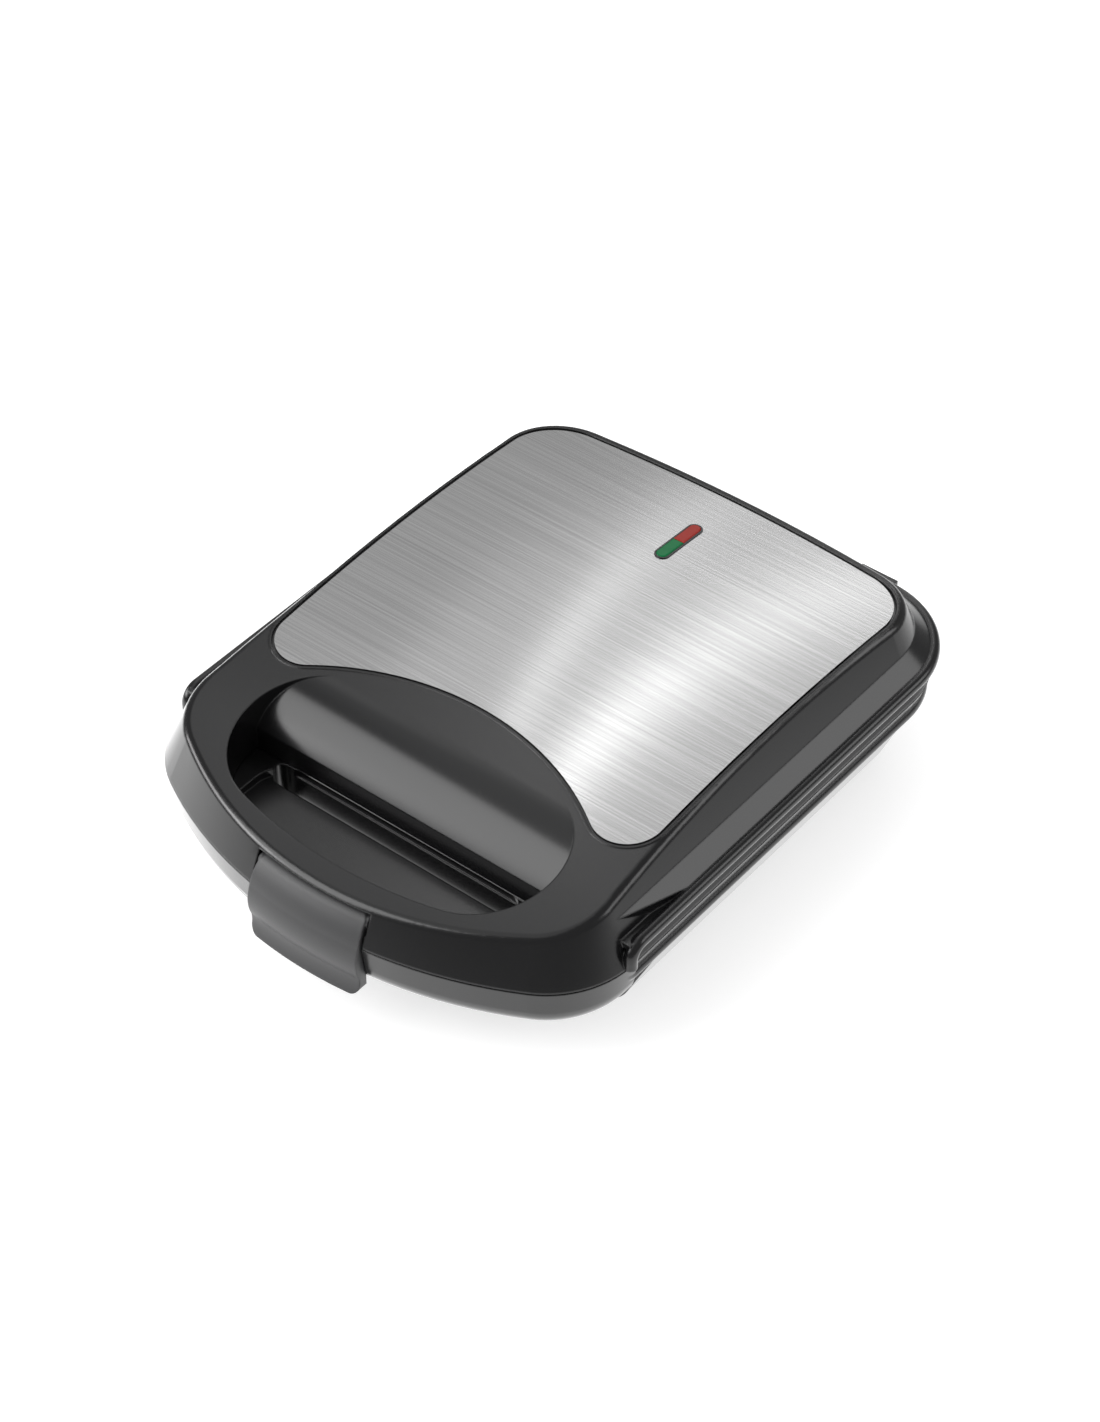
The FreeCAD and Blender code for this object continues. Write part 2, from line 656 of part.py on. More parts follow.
def front_turn(name, outline, half):
    """A side-view outline turned about the centre of the round front, to both sides."""
    sketch = doc.addObject("Sketcher::SketchObject", f"{name}_outline")
    fill(sketch, outline)
    sketch.Placement = FreeCAD.Placement(Vector(), SIDE_VIEW)
    item = doc.addObject("Part::Revolution", name)
    item.Source = sketch
    item.Axis = Vector(0, 0, 1)
    item.Solid = True
    item.Symmetric = True
    return bind(item, Angle=f"2 * ({half}) / front_radius * 180 / pi",
                **{"Base.y": f"{FRONT_Y} + front_radius"})


def latch_pocket(name, grow, low):
    """Space in the front for the latch and its swing, grown by an expression, down to a height."""
    front = value(FRONT_Y)
    more = value(grow)
    mouth = front - value("cut_margin")
    back = front + value("latch_back + latch_gap") + more
    deep = front + value("latch_pivot_y + latch_tail + latch_gap") + more
    eye = front + value("latch_pivot_y + latch_eye + latch_swing + latch_gap") + more
    sill = value("latch_pivot_z - latch_eye - latch_gap") - more
    roof = value("latch_top + latch_gap + latch_lift") + more
    foot = value(low)
    waist = value(LID_Z)
    half = f"{POCKET_HALF} + ({grow})"
    face = front_turn(f"{name}_face", polygon([(mouth, foot), (back, foot), (back, waist), (deep, sill),
                                               (deep, roof),
                                               (mouth, roof)]), half)
    start = front + value("latch_pivot_y - latch_brow + latch_gap")
    barrel = side_prism(f"{name}_barrel", polygon([(start, sill), (eye, sill), (eye, roof), (start, roof)]),
                        f"2 * ({half})")
    return fuse(name, [face, barrel])


def boss_tool(name, radius, low, high, points):
    return [cylinder(f"{name}_{number}", radius, f"({high}) - ({low})", x, y, low)
            for number, (x, y) in enumerate(points, start=1)]


def lens_placement():
    """Place on the crown, and tilt with it, of the indicator."""
    tilt = math.asin(value("lamp_setback / crown_radius"))
    rise = value("crown_radius") * math.cos(tilt)
    spot = Vector(0, value(f"{PANEL_Y} + lamp_setback"), value(CROWN_Z) + rise)
    return FreeCAD.Placement(spot, FreeCAD.Rotation(Vector(1, 0, 0), -math.degrees(tilt)))


def indicator_hole(name):
    """Slot through panel and lid for the indicator's rim."""
    owner = body(name)
    outline = capsule("lens_length + 2 * bezel_wall + 2 * bezel_fit",
                      "lens_width + 2 * bezel_wall + 2 * bezel_fit")
    pad(owner, f"{name}_pad", body_sketch(owner, f"{name}_sketch", "XY_Plane", outline),
        "4 * cut_margin", symmetric=True)
    owner.Placement = lens_placement()
    return owner


def cover_points():
    return [(f"{side} * cover_boss_x", f"{FRONT_Y} + cover_boss_y") for side in SIDES]


def flare_outline(level):
    """Plan of the flare over the side beads, which grows out of the wall behind the beads' front ends.

    The level is the height where the flare meets the wall.
    """
    start = value(f"{FRONT_Y} + belt_setback")
    full = value(f"{FRONT_Y} + belt_setback + flare_run")
    end = value(LONG)
    narrow = value(f"body_width / 2 - lid_lean * ({level} - {LID_Z}) - slip")
    broad = value("body_width / 2 + slip")
    right = [(narrow, start), (broad, full), (broad, end)]
    left = [(-x, y) for x, y in reversed(right)]
    return polygon(right + left)


def lid_housing():
    rise = f"({TOP_Z} - {LID_Z})"
    block = loft("lid_block", shell_outline("0"), LID_Z, shell_outline(f"lid_lean * {rise}"), TOP_Z)
    form = common("lid_form", [block, crown("lid_crown", "0")])
    soft = fillet("lid_soft", form, "lid_edge_radius", on_crown)

    wide = (f"-{WIDE} / 2", f"{WIDE} / 2")
    level = "(total_height - lid_belt_drop)"
    bead = belt("lid_belt", "0", "lid_belt_radius", LID_Z, level, "belt_bend")
    web_top = f"({level} + lid_belt_radius / 2)"
    flare_top = f"({level} + lid_flare)"
    web = prism("lid_web", shell_outline("0"), f"{level} - lid_belt_radius / 2", web_top)
    web = common("lid_web_back", [web, box("lid_web_reach", wide, (f"{FRONT_Y} + belt_setback", LONG),
                                           ("0", TOP_Z))])
    flare = loft("lid_flare_wall", shell_outline("0"), web_top,
                 shell_outline(f"lid_lean * ({flare_top} - {LID_Z})"), flare_top)
    flare = common("lid_flare_back", [flare, prism("lid_flare_reach", flare_outline(flare_top), "0", TOP_Z)])

    ring = cut("panel_bead_ring", prism("panel_bead_outer", panel_outline("panel_groove + panel_bead"),
                                        LID_Z, TOP_Z),
               [prism("panel_bead_inner", panel_outline("panel_groove"), LID_Z, TOP_Z)])
    rim = common("panel_bead_rim", [ring, cut("panel_bead_layer", crown("panel_bead_top", "panel_bead_rise"),
                                              [crown("panel_bead_foot", "-wall")])])
    outside = fuse("lid_outside", [soft, bead, web, flare, rim])

    inset = f"({LID_WALL} - lid_lean * cut_margin)"
    core = loft("lid_core", shell_outline(inset), f"{LID_Z} - cut_margin",
                shell_outline(f"{LID_WALL} + lid_lean * (total_height - {LID_Z})"), "total_height")
    core = common("lid_core_crown", [core, crown("lid_core_top", "-(panel_thickness + panel_seat + wall)")])
    post_z = f"({LID_Z} + post_depth + reflector_sheet)"
    bosses = boss_tool("lid_boss", "post_radius + wall / 2", post_z, TOP_Z, plate_points())
    bosses += boss_tool("cover_boss_post", "cover_boss", f"{LID_Z} + cover_sheet", TOP_Z, cover_points())
    latch_block = common("latch_block", [latch_pocket("latch_block_form", "latch_ear", BASE_Z),
                                         box("latch_block_reach", wide, (f"-{LONG}", LONG),
                                             (f"{LID_Z} + cover_sheet + slip", TOP_Z))])
    cavity = cut("lid_cavity", core, [recess("recess_wall", "wall"), latch_block] + bosses)

    floor = crown("panel_floor", "-(panel_thickness + panel_seat)")
    seat = cut("panel_seat_space", prism("panel_seat_plan", panel_outline("panel_groove"), LID_Z, TOP_Z),
               [floor])
    holes = boss_tool("lid_boss_hole", "screw_radius + screw_fit", f"{post_z} - slip",
                      f"{post_z} + screw_grip", plate_points())
    holes += boss_tool("cover_boss_hole", "cover_screw + screw_fit", LID_Z,
                       f"{LID_Z} + cover_sheet + screw_grip", cover_points())
    hollow = cut("lid_hollow", outside, [recess("recess_space", "0"), cavity, seat,
                                         indicator_hole("lid_lens_hole"),
                                         latch_pocket("latch_space", "0", f"{BASE_Z} - cut_margin")] + holes)

    knuckles = []
    arm_top = f"({LID_Z} + arm_sheet)"
    for side in SIDES:
        middle = f"{side} * hinge_spread / 2"
        span = (f"{middle} - knuckle_width / 2", f"{middle} + knuckle_width / 2")
        root = f"({REAR_Y} - 2 * wall)"
        back = f"({HINGE_Y} + knuckle_radius)"
        knuckles.append(cylinder(f"knuckle_{side + 1}", "knuckle_radius", "knuckle_width", span[0], HINGE_Y,
                                 HINGE_Z, ALONG_X))
        knuckles.append(box(f"arm_root_{side + 1}", span, (root, f"{REAR_Y} + arm_gap"),
                            (LID_Z, f"{LID_Z} + arm_root")))
        knuckles.append(box(f"arm_top_{side + 1}", span, (root, back), (LID_Z, arm_top)))
        knuckles.append(box(f"arm_drop_{side + 1}", span, (f"{REAR_Y} + arm_gap", back), (HINGE_Z, arm_top)))
    arms = cut("knuckle_arms", fuse("knuckle_forms", knuckles), [core])
    solid = fuse("lid_with_knuckles", [hollow, arms])
    pins = [cylinder(f"knuckle_bore_{side + 1}", "hinge_pin + pin_fit", f"2 * {PIN_LENGTH}",
                     f"{side} * hinge_spread / 2 - {PIN_LENGTH}", HINGE_Y, HINGE_Z, ALONG_X)
                     for side in SIDES]
    pins.append(cylinder("latch_pin_bore", "latch_pin + pin_fit",
                         "latch_width + 2 * latch_gap + 2 * latch_ear - wall",
                         "-(latch_width / 2 + latch_gap + latch_ear - wall / 2)",
                         f"{FRONT_Y} + latch_pivot_y", "latch_pivot_z", ALONG_X))
    return cut("lid_housing", solid, pins)


def steel_panel():
    sheet_layer = cut("panel_layer", crown("panel_top", "0"), [crown("panel_under", "-panel_thickness")])
    plan = prism("panel_plan", panel_outline("0"), LID_Z, TOP_Z)
    form = common("panel_form", [plan, sheet_layer])
    return cut("steel_panel", form, [indicator_hole("panel_lens_hole")])


def indicator_sketch(owner, name, outline, level):
    """A sketch of the indicator, at a level below the panel's face."""
    sketch = body_sketch(owner, name, "XY_Plane", outline)
    sketch.setExpression("AttachmentOffset.Base.z", cells(level))
    return sketch


def indicator_bezel():
    owner = body("indicator_bezel")
    outer = indicator_sketch(owner, "bezel_outer",
                             capsule("lens_length + 2 * bezel_wall", "lens_width + 2 * bezel_wall"),
                             "-lens_depth")
    pad(owner, "bezel_pad", outer, "lens_depth + bezel_rise")
    inner = indicator_sketch(owner, "bezel_inner", capsule("lens_length", "lens_width"), "bezel_rise")
    pocket(owner, "bezel_window", inner, "lens_depth + bezel_rise + cut_margin")
    owner.Placement = lens_placement()
    return owner


def lens(name, side):
    """Half of the indicator, to the front or to the back."""
    owner = body(name)
    radius = "lens_width / 2 - bezel_fit"
    half = value(radius)
    inner = value("bezel_fit")
    reach = value("lens_length / 2 - lens_width / 2")
    turn = (0, math.pi) if side > 0 else (math.pi, 2 * math.pi)
    outline = [
        line((-half, side * inner, 0), (half, side * inner, 0)),
        line((half, side * inner, 0), (half, side * reach, 0)),
        arc((0, side * reach, 0), radius, *turn),
        line((-half, side * reach, 0), (-half, side * inner, 0)),
    ]
    pad(owner, f"{name}_pad", indicator_sketch(owner, f"{name}_outline", outline, "-lens_depth"),
        "lens_depth + lens_rise")
    doc.recompute()
    edges = owner.Shape.Edges
    top = max(vertex.Point.z for edge in edges for vertex in edge.Vertexes)
    rim = [f"Edge{number}" for number, edge in enumerate(edges, start=1)
           if min(vertex.Point.z for vertex in edge.Vertexes) > top - TOUCH]
    round_off(owner, f"{name}_soft", rim, "lens_edge")
    owner.Placement = lens_placement()
    return owner


def lamp_holder():
    owner = body("lamp_holder")
    plate = indicator_sketch(owner, "holder_outline",
                             capsule("lens_length + 2 * holder_rim", "lens_width + 2 * holder_rim"),
                             "-lens_depth")
    pad(owner, "holder_pad", plate, "holder_height", backward=True)
    bores = [arc((0, side * value("lens_length / 4"), 0), "lamp_radius + bezel_fit", 0, 2 * math.pi)
             for side in SIDES]
    circles = [(Part.Circle(curve.Center, Vector(0, 0, 1), curve.Radius), radius) for curve, radius in bores]
    pocket(owner, "holder_bores", indicator_sketch(owner, "holder_bore_outline", circles, "-lens_depth"),
           "holder_height")
    owner.Placement = lens_placement()
    return owner


def neon_lamps():
    lamps = []
    for side in SIDES:
        lamp = cylinder(f"neon_lamp_{side + 1}", "lamp_radius", "lamp_length", "0", "0", "0")
        for axis in "xyz":
            lamp.setExpression(f"Placement.Base.{axis}", None)
        spot = Vector(0, side * value("lens_length / 4"), -value("lens_depth + lamp_length"))
        lamp.Placement = lens_placement().multiply(FreeCAD.Placement(spot, FreeCAD.Rotation()))
        lamps.append(lamp)
    return group("neon_lamps", lamps)


def lid_handle_cover():
    inset = f"({LID_WALL} + lid_lean * cover_sheet + slip)"
    sheet_top = f"({LID_Z} + cover_sheet)"
    plan = prism("cover_plan", shell_outline(inset), LID_Z, sheet_top)
    rear = box("cover_rear", (f"-{WIDE} / 2", f"{WIDE} / 2"), (f"{FRONT_Y} + slope_foot", LONG), ("0", TOP_Z))
    hole = prism("cover_hole", recess_outline("wall + slip"), f"{LID_Z} - cut_margin", TOP_Z)
    holes = boss_tool("cover_screw_hole", "cover_screw + screw_fit", f"{LID_Z} - slip",
                      f"{sheet_top} + slip", cover_points())
    holes += [cone(f"cover_sink_{number}", "cover_screw_head + screw_fit", "cover_screw + screw_fit",
                   "cover_screw_head - cover_screw", x, y, LID_Z)
              for number, (x, y) in enumerate(cover_points(), start=1)]
    return cut("lid_handle_cover", plan,
               [rear, hole, latch_pocket("cover_latch_space", "0", f"{BASE_Z} - cut_margin")] + holes)


def countersunk(name, head, shank, length, x, y, face, way):
    """A countersunk screw, its head flush with a face, pointing up or down."""
    depth = f"({head} - {shank})"
    if way > 0:
        top = cone(f"{name}_head", head, shank, depth, x, y, face)
        stem = cylinder(f"{name}_shank", shank, length, x, y, face)
    else:
        top = cone(f"{name}_head", shank, head, depth, x, y, f"{face} - {depth}")
        stem = cylinder(f"{name}_shank", shank, length, x, y, f"{face} - ({length})")
    return fuse(name, [top, stem])


def screw_group(name, head, shank, length, face, way, points):
    return group(name, [countersunk(f"{name}_{number}", head, shank, length, x, y, face, way)
                        for number, (x, y) in enumerate(points, start=1)])


# Both cooking sides: way is 1 for the lid's, -1 for the base's

def layer(face, way, near, far):
    """Low and high expression of a layer between two depths behind a plate's face."""
    if way > 0:
        return f"({face} + {near})", f"({face} + {far})"
    return f"({face} - {far})", f"({face} - {near})"


def ring_torus(name, radius, x, y, face):
    item = doc.addObject("Part::Torus", name)
    bind(item, Radius1="ring_radius", Radius2=radius)
    return place(item, x, y, face)


LAND = "(collar_radius - heater_radius)"
HEATER_DEPTH = f"(plate_thickness + {LAND} + heater_radius + screw_fit)"


def cooking_plate(name, face, way):
    outline = rounded_rectangle("body_width / 2 - plate_side", f"{FRONT_Y} + plate_front",
                                f"{REAR_Y} - plate_rear", "plate_corner")
    slab = prism(f"{name}_slab", outline, *layer(face, way, "0", "plate_thickness"))
    rings = [ring_torus(f"{name}_ring_{number}", "groove_radius + plate_wall", x, y, face)
             for number, (x, y) in enumerate(ring_points(), start=1)]
    posts = boss_tool(f"{name}_post", "post_radius", *layer(face, way, "0", "post_depth"), plate_points())
    land_z = layer(face, way, "0", f"(plate_thickness + {LAND})")
    lands = [box(f"{name}_land_{side + 1}",
                 (f"{side} * heater_x - heater_radius / 2", f"{side} * heater_x + heater_radius / 2"),
                 (f"{PLATE_Y} - heater_y + heater_bend", f"{PLATE_Y} + heater_tail - collar_length"), land_z)
             for side in SIDES]
    solid = fuse(f"{name}_solid", [slab] + rings + posts + lands)
    half = box(f"{name}_half", (f"-{WIDE} / 2", f"{WIDE} / 2"), (f"-{LONG}", LONG),
               layer(face, way, "0", "(post_depth + cut_margin)"))
    form = common(f"{name}_form", [solid, half])
    tools = [ring_torus(f"{name}_groove_{number}", "groove_radius", x, y, face)
             for number, (x, y) in enumerate(ring_points(), start=1)]
    for number, (x, y) in enumerate(plate_points(), start=1):
        tools.append(countersunk(f"{name}_hole_{number}", "(screw_head + screw_fit)",
                                 "(screw_radius + screw_fit)",
                                 "post_depth + slip", x, y, face, way))
    return cut(name, form, tools)


def heater(name, face, way):
    """Tubular element: two side legs joined across the front, with a cold pin at each end."""
    z = value(f"{face} + {way} * {HEATER_DEPTH}")
    x = value("heater_x")
    front = value(f"{PLATE_Y} - heater_y")
    rear = value(f"{PLATE_Y} + heater_tail")
    bend = value("heater_bend")
    slack = bend * (1 - math.sqrt(0.5))
    curves = [
        Part.LineSegment(Vector(x, rear, z), Vector(x, front + bend, z)),
        Part.Arc(Vector(x, front + bend, z), Vector(x - slack, front + slack, z), Vector(x - bend, front, z)),
        Part.LineSegment(Vector(x - bend, front, z), Vector(bend - x, front, z)),
        Part.Arc(Vector(bend - x, front, z), Vector(slack - x, front + slack, z),
                 Vector(-x, front + bend, z)),
        Part.LineSegment(Vector(-x, front + bend, z), Vector(-x, rear, z)),
    ]
    tube = sweep(f"{name}_tube", [curve.toShape() for curve in curves], "heater_radius", ALONG_Y)
    level = f"{face} + {way} * {HEATER_DEPTH}"
    pins = [cylinder(f"{name}_pin_{side + 1}", "heater_pin", "heater_pin_length + heater_pin",
                     f"{side} * heater_x",
                     f"{PLATE_Y} + heater_tail - heater_pin", level, ALONG_Y) for side in SIDES]
    return fuse(name, [tube] + pins)


def insulators(name, face, way):
    """Ceramic collars over the ends of an element."""
    level = f"{face} + {way} * {HEATER_DEPTH}"
    start = f"({PLATE_Y} + heater_tail - collar_overlap)"
    collars = []
    for side in SIDES:
        x = f"{side} * heater_x"
        outer = cylinder(f"{name}_outer_{side + 1}", "collar_radius", "collar_length", x, start, level,
                         ALONG_Y)
        bore = cylinder(f"{name}_bore_{side + 1}", "heater_radius + screw_fit",
                        "collar_overlap + screw_fit + cut_margin",
                        x, f"{start} - cut_margin", level, ALONG_Y)
        way_out = cylinder(f"{name}_way_{side + 1}", "heater_pin + screw_fit", "collar_length + cut_margin",
                           x, start,
                           level, ALONG_Y)
        collars.append(cut(f"{name}_{side + 1}", outer, [bore, way_out]))
    return group(name, collars)


def saddle(name, x, y, face, way, across):
    """A clip over the element: an arch with two feet on the plate."""
    inner = "(heater_radius + screw_fit)"
    outer = f"({inner} + clip_sheet)"
    centre = f"({HEATER_DEPTH} - plate_thickness)"
    half = ("-clip_width / 2", "clip_width / 2")
    arch = cylinder(f"{name}_arch", outer, "clip_width", "0", "-clip_width / 2", centre, ALONG_Y)
    legs = box(f"{name}_legs", (f"-{outer}", outer), half, ("0", centre))
    feet = box(f"{name}_feet", (f"-({outer} + clip_foot)", f"{outer} + clip_foot"), half, ("0", "clip_sheet"))
    bore = cylinder(f"{name}_bore", inner, "2 * clip_width", "0", "-clip_width", centre, ALONG_Y)
    throat = box(f"{name}_throat", (f"-{inner}", inner), ("-clip_width", "clip_width"),
                 ("-clip_sheet", centre))
    item = cut(name, fuse(f"{name}_form", [arch, legs, feet]), [bore, throat])
    turn = FreeCAD.Rotation(Vector(0, 0, 1), 90 if across else 0)
    if way < 0:
        turn = FreeCAD.Rotation(Vector(1, 0, 0), 180).multiply(turn)
    return place(item, x, y, f"{face} + {way} * plate_thickness", turn)


def heater_clips(name, face, way):
    clips = [saddle(f"{name}_{side + 1}", f"{side} * heater_x", f"{PLATE_Y} + clip_span", face, way, False)
             for side in SIDES]
    clips.append(saddle(f"{name}_front", "clip_span", f"{PLATE_Y} - heater_y", face, way, True))
    return group(name, clips)


def reflector(name, face, way):
    """Tray of sheet steel between a plate's posts and the housing's bosses."""
    half = "reflector_width / 2"
    front = f"({PLATE_Y} - reflector_front)"
    rear = f"({PLATE_Y} + reflector_rear)"
    outer = prism(f"{name}_outer", rounded_rectangle(half, front, rear, "reflector_corner"),
                  *layer(face, way, "(post_depth - reflector_rim)", "(post_depth + reflector_sheet)"))
    inner = prism(f"{name}_inner", rounded_rectangle(f"{half} - reflector_sheet",
                                                     f"{front} + reflector_sheet",
                                                     f"{rear} - reflector_sheet",
                                                     "reflector_corner - reflector_sheet"),
                  *layer(face, way, "(post_depth - reflector_rim - cut_margin)", "post_depth"))
    holes = boss_tool(f"{name}_hole", "screw_radius + slip",
                      *layer(face, way, "(post_depth - slip)", "(post_depth + reflector_sheet + slip)"),
                      plate_points())
    return cut(name, outer, [inner] + holes)


# The base

def foot_points():
    return [(f"{side} * foot_spread / 2", y) for side in SIDES
            for y in (f"{FRONT_Y} + foot_front", f"{REAR_Y} - foot_rear")]


def base_housing():
    wide = (f"-{WIDE} / 2", f"{WIDE} / 2")
    block = loft("lip_block", shell_outline("lip_lean * lip_depth"), LIP_Z, shell_outline("0"), BASE_Z)
    soft = fillet("lip_soft", block, "lip_round", at_height(LIP_Z))
    lip = common("lip_form", [soft, box("lip_reach", wide, (f"-{LONG}", f"{TUB_Y} + wall"), ("0", TOP_Z))])
    tub_inset = f"(base_lean * ({BASE_Z} - tub_top))"
    foot_inset = f"({tub_inset} + tub_lean * (tub_top - foot_height))"
    band = loft("band_block", shell_outline(tub_inset), "tub_top", shell_outline("0"), BASE_Z)
    band = common("band_form", [band, box("band_reach", wide, (f"{FRONT_Y} + belt_setback", LONG),
                                          ("0", TOP_Z))])
    tub = loft("tub_block", shell_outline(foot_inset), "foot_height", shell_outline(tub_inset), "tub_top")
    tub = fillet("tub_soft", tub, "tub_round", at_height("foot_height"))
    tub_plan = rounded_rectangle("body_width / 2", TUB_Y, LONG, "tub_foot_corner")
    tub = common("tub_form", [tub, prism("tub_reach", tub_plan, "0", TOP_Z)])
    bead = belt("base_belt", "base_belt_inset", "base_belt_radius", BASE_Z,
                "(parting_height - base_belt_drop)", "belt_bend")
    inlet_face = cylinder("inlet_face", "inlet_pad", "4 * inlet_pad", "0",
                          f"{REAR_Y} - inlet_inset - 4 * inlet_pad", "inlet_z", ALONG_Y)
    inlet_face = common("inlet_boss", [inlet_face, box("inlet_reach", wide,
                                                       (f"{REAR_Y} - 2 * inlet_pad", LONG), ("0", TOP_Z))])
    outside = fuse("base_outside", [lip, band, tub, bead, inlet_face])

    floor_z = "(foot_height + wall)"
    low = loft("tub_core_low", shell_outline(f"{foot_inset} + {TUB_WALL} - tub_lean * wall"), floor_z,
               shell_outline(f"{tub_inset} + {TUB_WALL}"), "tub_top")
    high = loft("tub_core_high", shell_outline(f"{tub_inset} + {TUB_WALL}"), "tub_top",
                shell_outline(f"{BASE_WALL} - base_lean * cut_margin"), f"{BASE_Z} + cut_margin")
    foot_plan = rounded_rectangle("body_width / 2 - wall", f"{TUB_Y} + wall", LONG, "tub_foot_corner - wall")
    deep = common("tub_core_deep", [fuse("tub_cores", [low, high]),
                                    prism("tub_core_reach", foot_plan, "0", TOP_Z)])
    core_plan = rounded_rectangle("body_width / 2 - wall", f"{TUB_Y} + wall", LONG, "tub_corner - wall")
    shallow = common("tub_core_shallow", [high, prism("plate_room", core_plan, "tub_top + wall", TOP_Z)])
    core = fuse("tub_core", [deep, shallow])
    post_z = f"({BASE_Z} - post_depth - reflector_sheet)"
    bosses = boss_tool("base_boss", "post_radius + wall / 2", "0", post_z, plate_points())
    cavity = cut("base_cavity", core, bosses)

    under = f"({SHELF_Z} - wall)"
    hollow = loft("lip_core", shell_outline(f"lip_lean * lip_depth + lip_round + {BASE_WALL}"),
                  f"{LIP_Z} - slip",
                  shell_outline(f"lip_lean * ({BASE_Z} - {under}) + {BASE_WALL}"), under)
    hollow = common("lip_hollow", [hollow, box("lip_hollow_reach", wide,
                                               (f"-{LONG}", f"{FRONT_Y} + shelf_rear - wall"),
                                               ("0", TOP_Z))])
    keep = box("latch_backing", (f"-({POCKET_HALF} + latch_ear)", f"{POCKET_HALF} + latch_ear"),
               (f"-{LONG}", f"{FRONT_Y} + latch_back + latch_gap + wall"), ("0", TOP_Z))
    hollow = cut("lip_space", hollow, [keep])
    shelf_ends = rounded_rectangle("shelf_half", f"-{LONG}", TUB_Y, "shelf_corner")
    shelf = common("shelf_space", [prism("shelf_plan", shell_outline("shelf_rim"), SHELF_Z, TOP_Z),
                                   prism("shelf_reach", shelf_ends, SHELF_Z, TOP_Z)])
    slot = prism("slot_space", slot_outline(), "0", TOP_Z)
    latch_space = latch_pocket("base_latch_space", "0", "0")
    holes = boss_tool("base_boss_hole", "screw_radius + screw_fit", f"{post_z} - screw_grip",
                      f"{post_z} + slip", plate_points())
    holes += boss_tool("foot_hole", "foot_stem + screw_fit", "0", f"{floor_z} + slip", foot_points())
    holes.append(cylinder("inlet_hole", "inlet_sleeve + screw_fit", "8 * inlet_pad", "0",
                          f"{REAR_Y} - 4 * inlet_pad", "inlet_z", ALONG_Y))
    shell = cut("base_shell", outside, [cavity, hollow, shelf, slot, latch_space] + holes)

    ears = []
    for side in SIDES:
        for part in SIDES:
            name = f"ear_{side + 1}_{part + 1}"
            middle = f"({side} * hinge_spread / 2 + {part} * {EAR_OFFSET})"
            span = (f"{middle} - ear_width / 2", f"{middle} + ear_width / 2")
            ears.append(cylinder(f"{name}_round", "knuckle_radius", "ear_width", span[0], HINGE_Y, HINGE_Z,
                                 ALONG_X))
            ears.append(box(f"{name}_web", span, (f"{REAR_Y} - 4 * wall", HINGE_Y),
                            (f"{HINGE_Z} - knuckle_radius", f"{HINGE_Z} + knuckle_radius")))
    ears = cut("ears_outside", fuse("ears", ears), [core])
    bores = [cylinder(f"ear_bore_{side + 1}", "hinge_pin + pin_fit", f"2 * {PIN_LENGTH}",
                      f"{side} * hinge_spread / 2 - {PIN_LENGTH}", HINGE_Y, HINGE_Z, ALONG_X)
                      for side in SIDES]
    return cut("base_housing", fuse("base_with_ears", [shell, ears]), bores)


def slot_outline():
    """The finger slot between the shelf and the tub, with round ends."""
    low = value(f"{FRONT_Y} + shelf_rear")
    high = value(f"{FRONT_Y} + slope_foot")
    radius = (high - low) / 2
    middle = (low + high) / 2
    half = value("slot_width / 2") - radius
    tie = "(slope_foot - shelf_rear) / 2"
    return [
        line((-half, low, 0), (half, low, 0)),
        arc((half, middle, 0), tie, -math.pi / 2, math.pi / 2),
        line((half, high, 0), (-half, high, 0)),
        arc((-half, middle, 0), tie, math.pi / 2, 3 * math.pi / 2),
    ]


def feet():
    """Rubber feet, each a tapered pad with a stem through the floor."""
    items = []
    for number, (x, y) in enumerate(foot_points(), start=1):
        tread = cone(f"foot_pad_{number}", "foot_radius - foot_taper", "foot_radius", "foot_height", x, y,
                     "0")
        stem = cylinder(f"foot_stem_{number}", "foot_stem", "wall + slip", x, y, "foot_height")
        bulb = cone(f"foot_bulb_{number}", "foot_stem + slip", "foot_stem / 2", "foot_stem", x, y,
                    "foot_height + wall + slip")
        items.append(fuse(f"foot_{number}", [tread, stem, bulb]))
    return group("feet", items)


def hinge_pins():
    return group("hinge_pins", [cylinder(f"hinge_pin_{side + 1}", "hinge_pin", PIN_LENGTH,
                                         f"{side} * hinge_spread / 2 - {PIN_LENGTH} / 2", HINGE_Y, HINGE_Z,
                                         ALONG_X)
                                for side in SIDES])


def thermostat():
    """Bimetal thermostat, its flange on the lower plate."""
    owner = body("thermostat")
    sheet_height = value("clip_sheet")
    points = [(0, 0), (value("thermostat_flange"), 0), (value("thermostat_flange"), -sheet_height),
              (value("thermostat_radius"), -sheet_height),
              (value("thermostat_radius"), -value("thermostat_height")),
              (0, -value("thermostat_height"))]
    revolve(owner, "thermostat_turn", body_sketch(owner, "thermostat_profile", "XZ_Plane", polygon(points)))
    return place(owner, "0", PLATE_Y, f"{BASE_Z} - plate_thickness")


def thermal_fuse():
    return cylinder("thermal_fuse", "fuse_radius", "fuse_length", "-fuse_length / 2",
                    f"{PLATE_Y} - fuse_setback",
                    f"{BASE_Z} - plate_thickness - fuse_radius - screw_fit", ALONG_X)


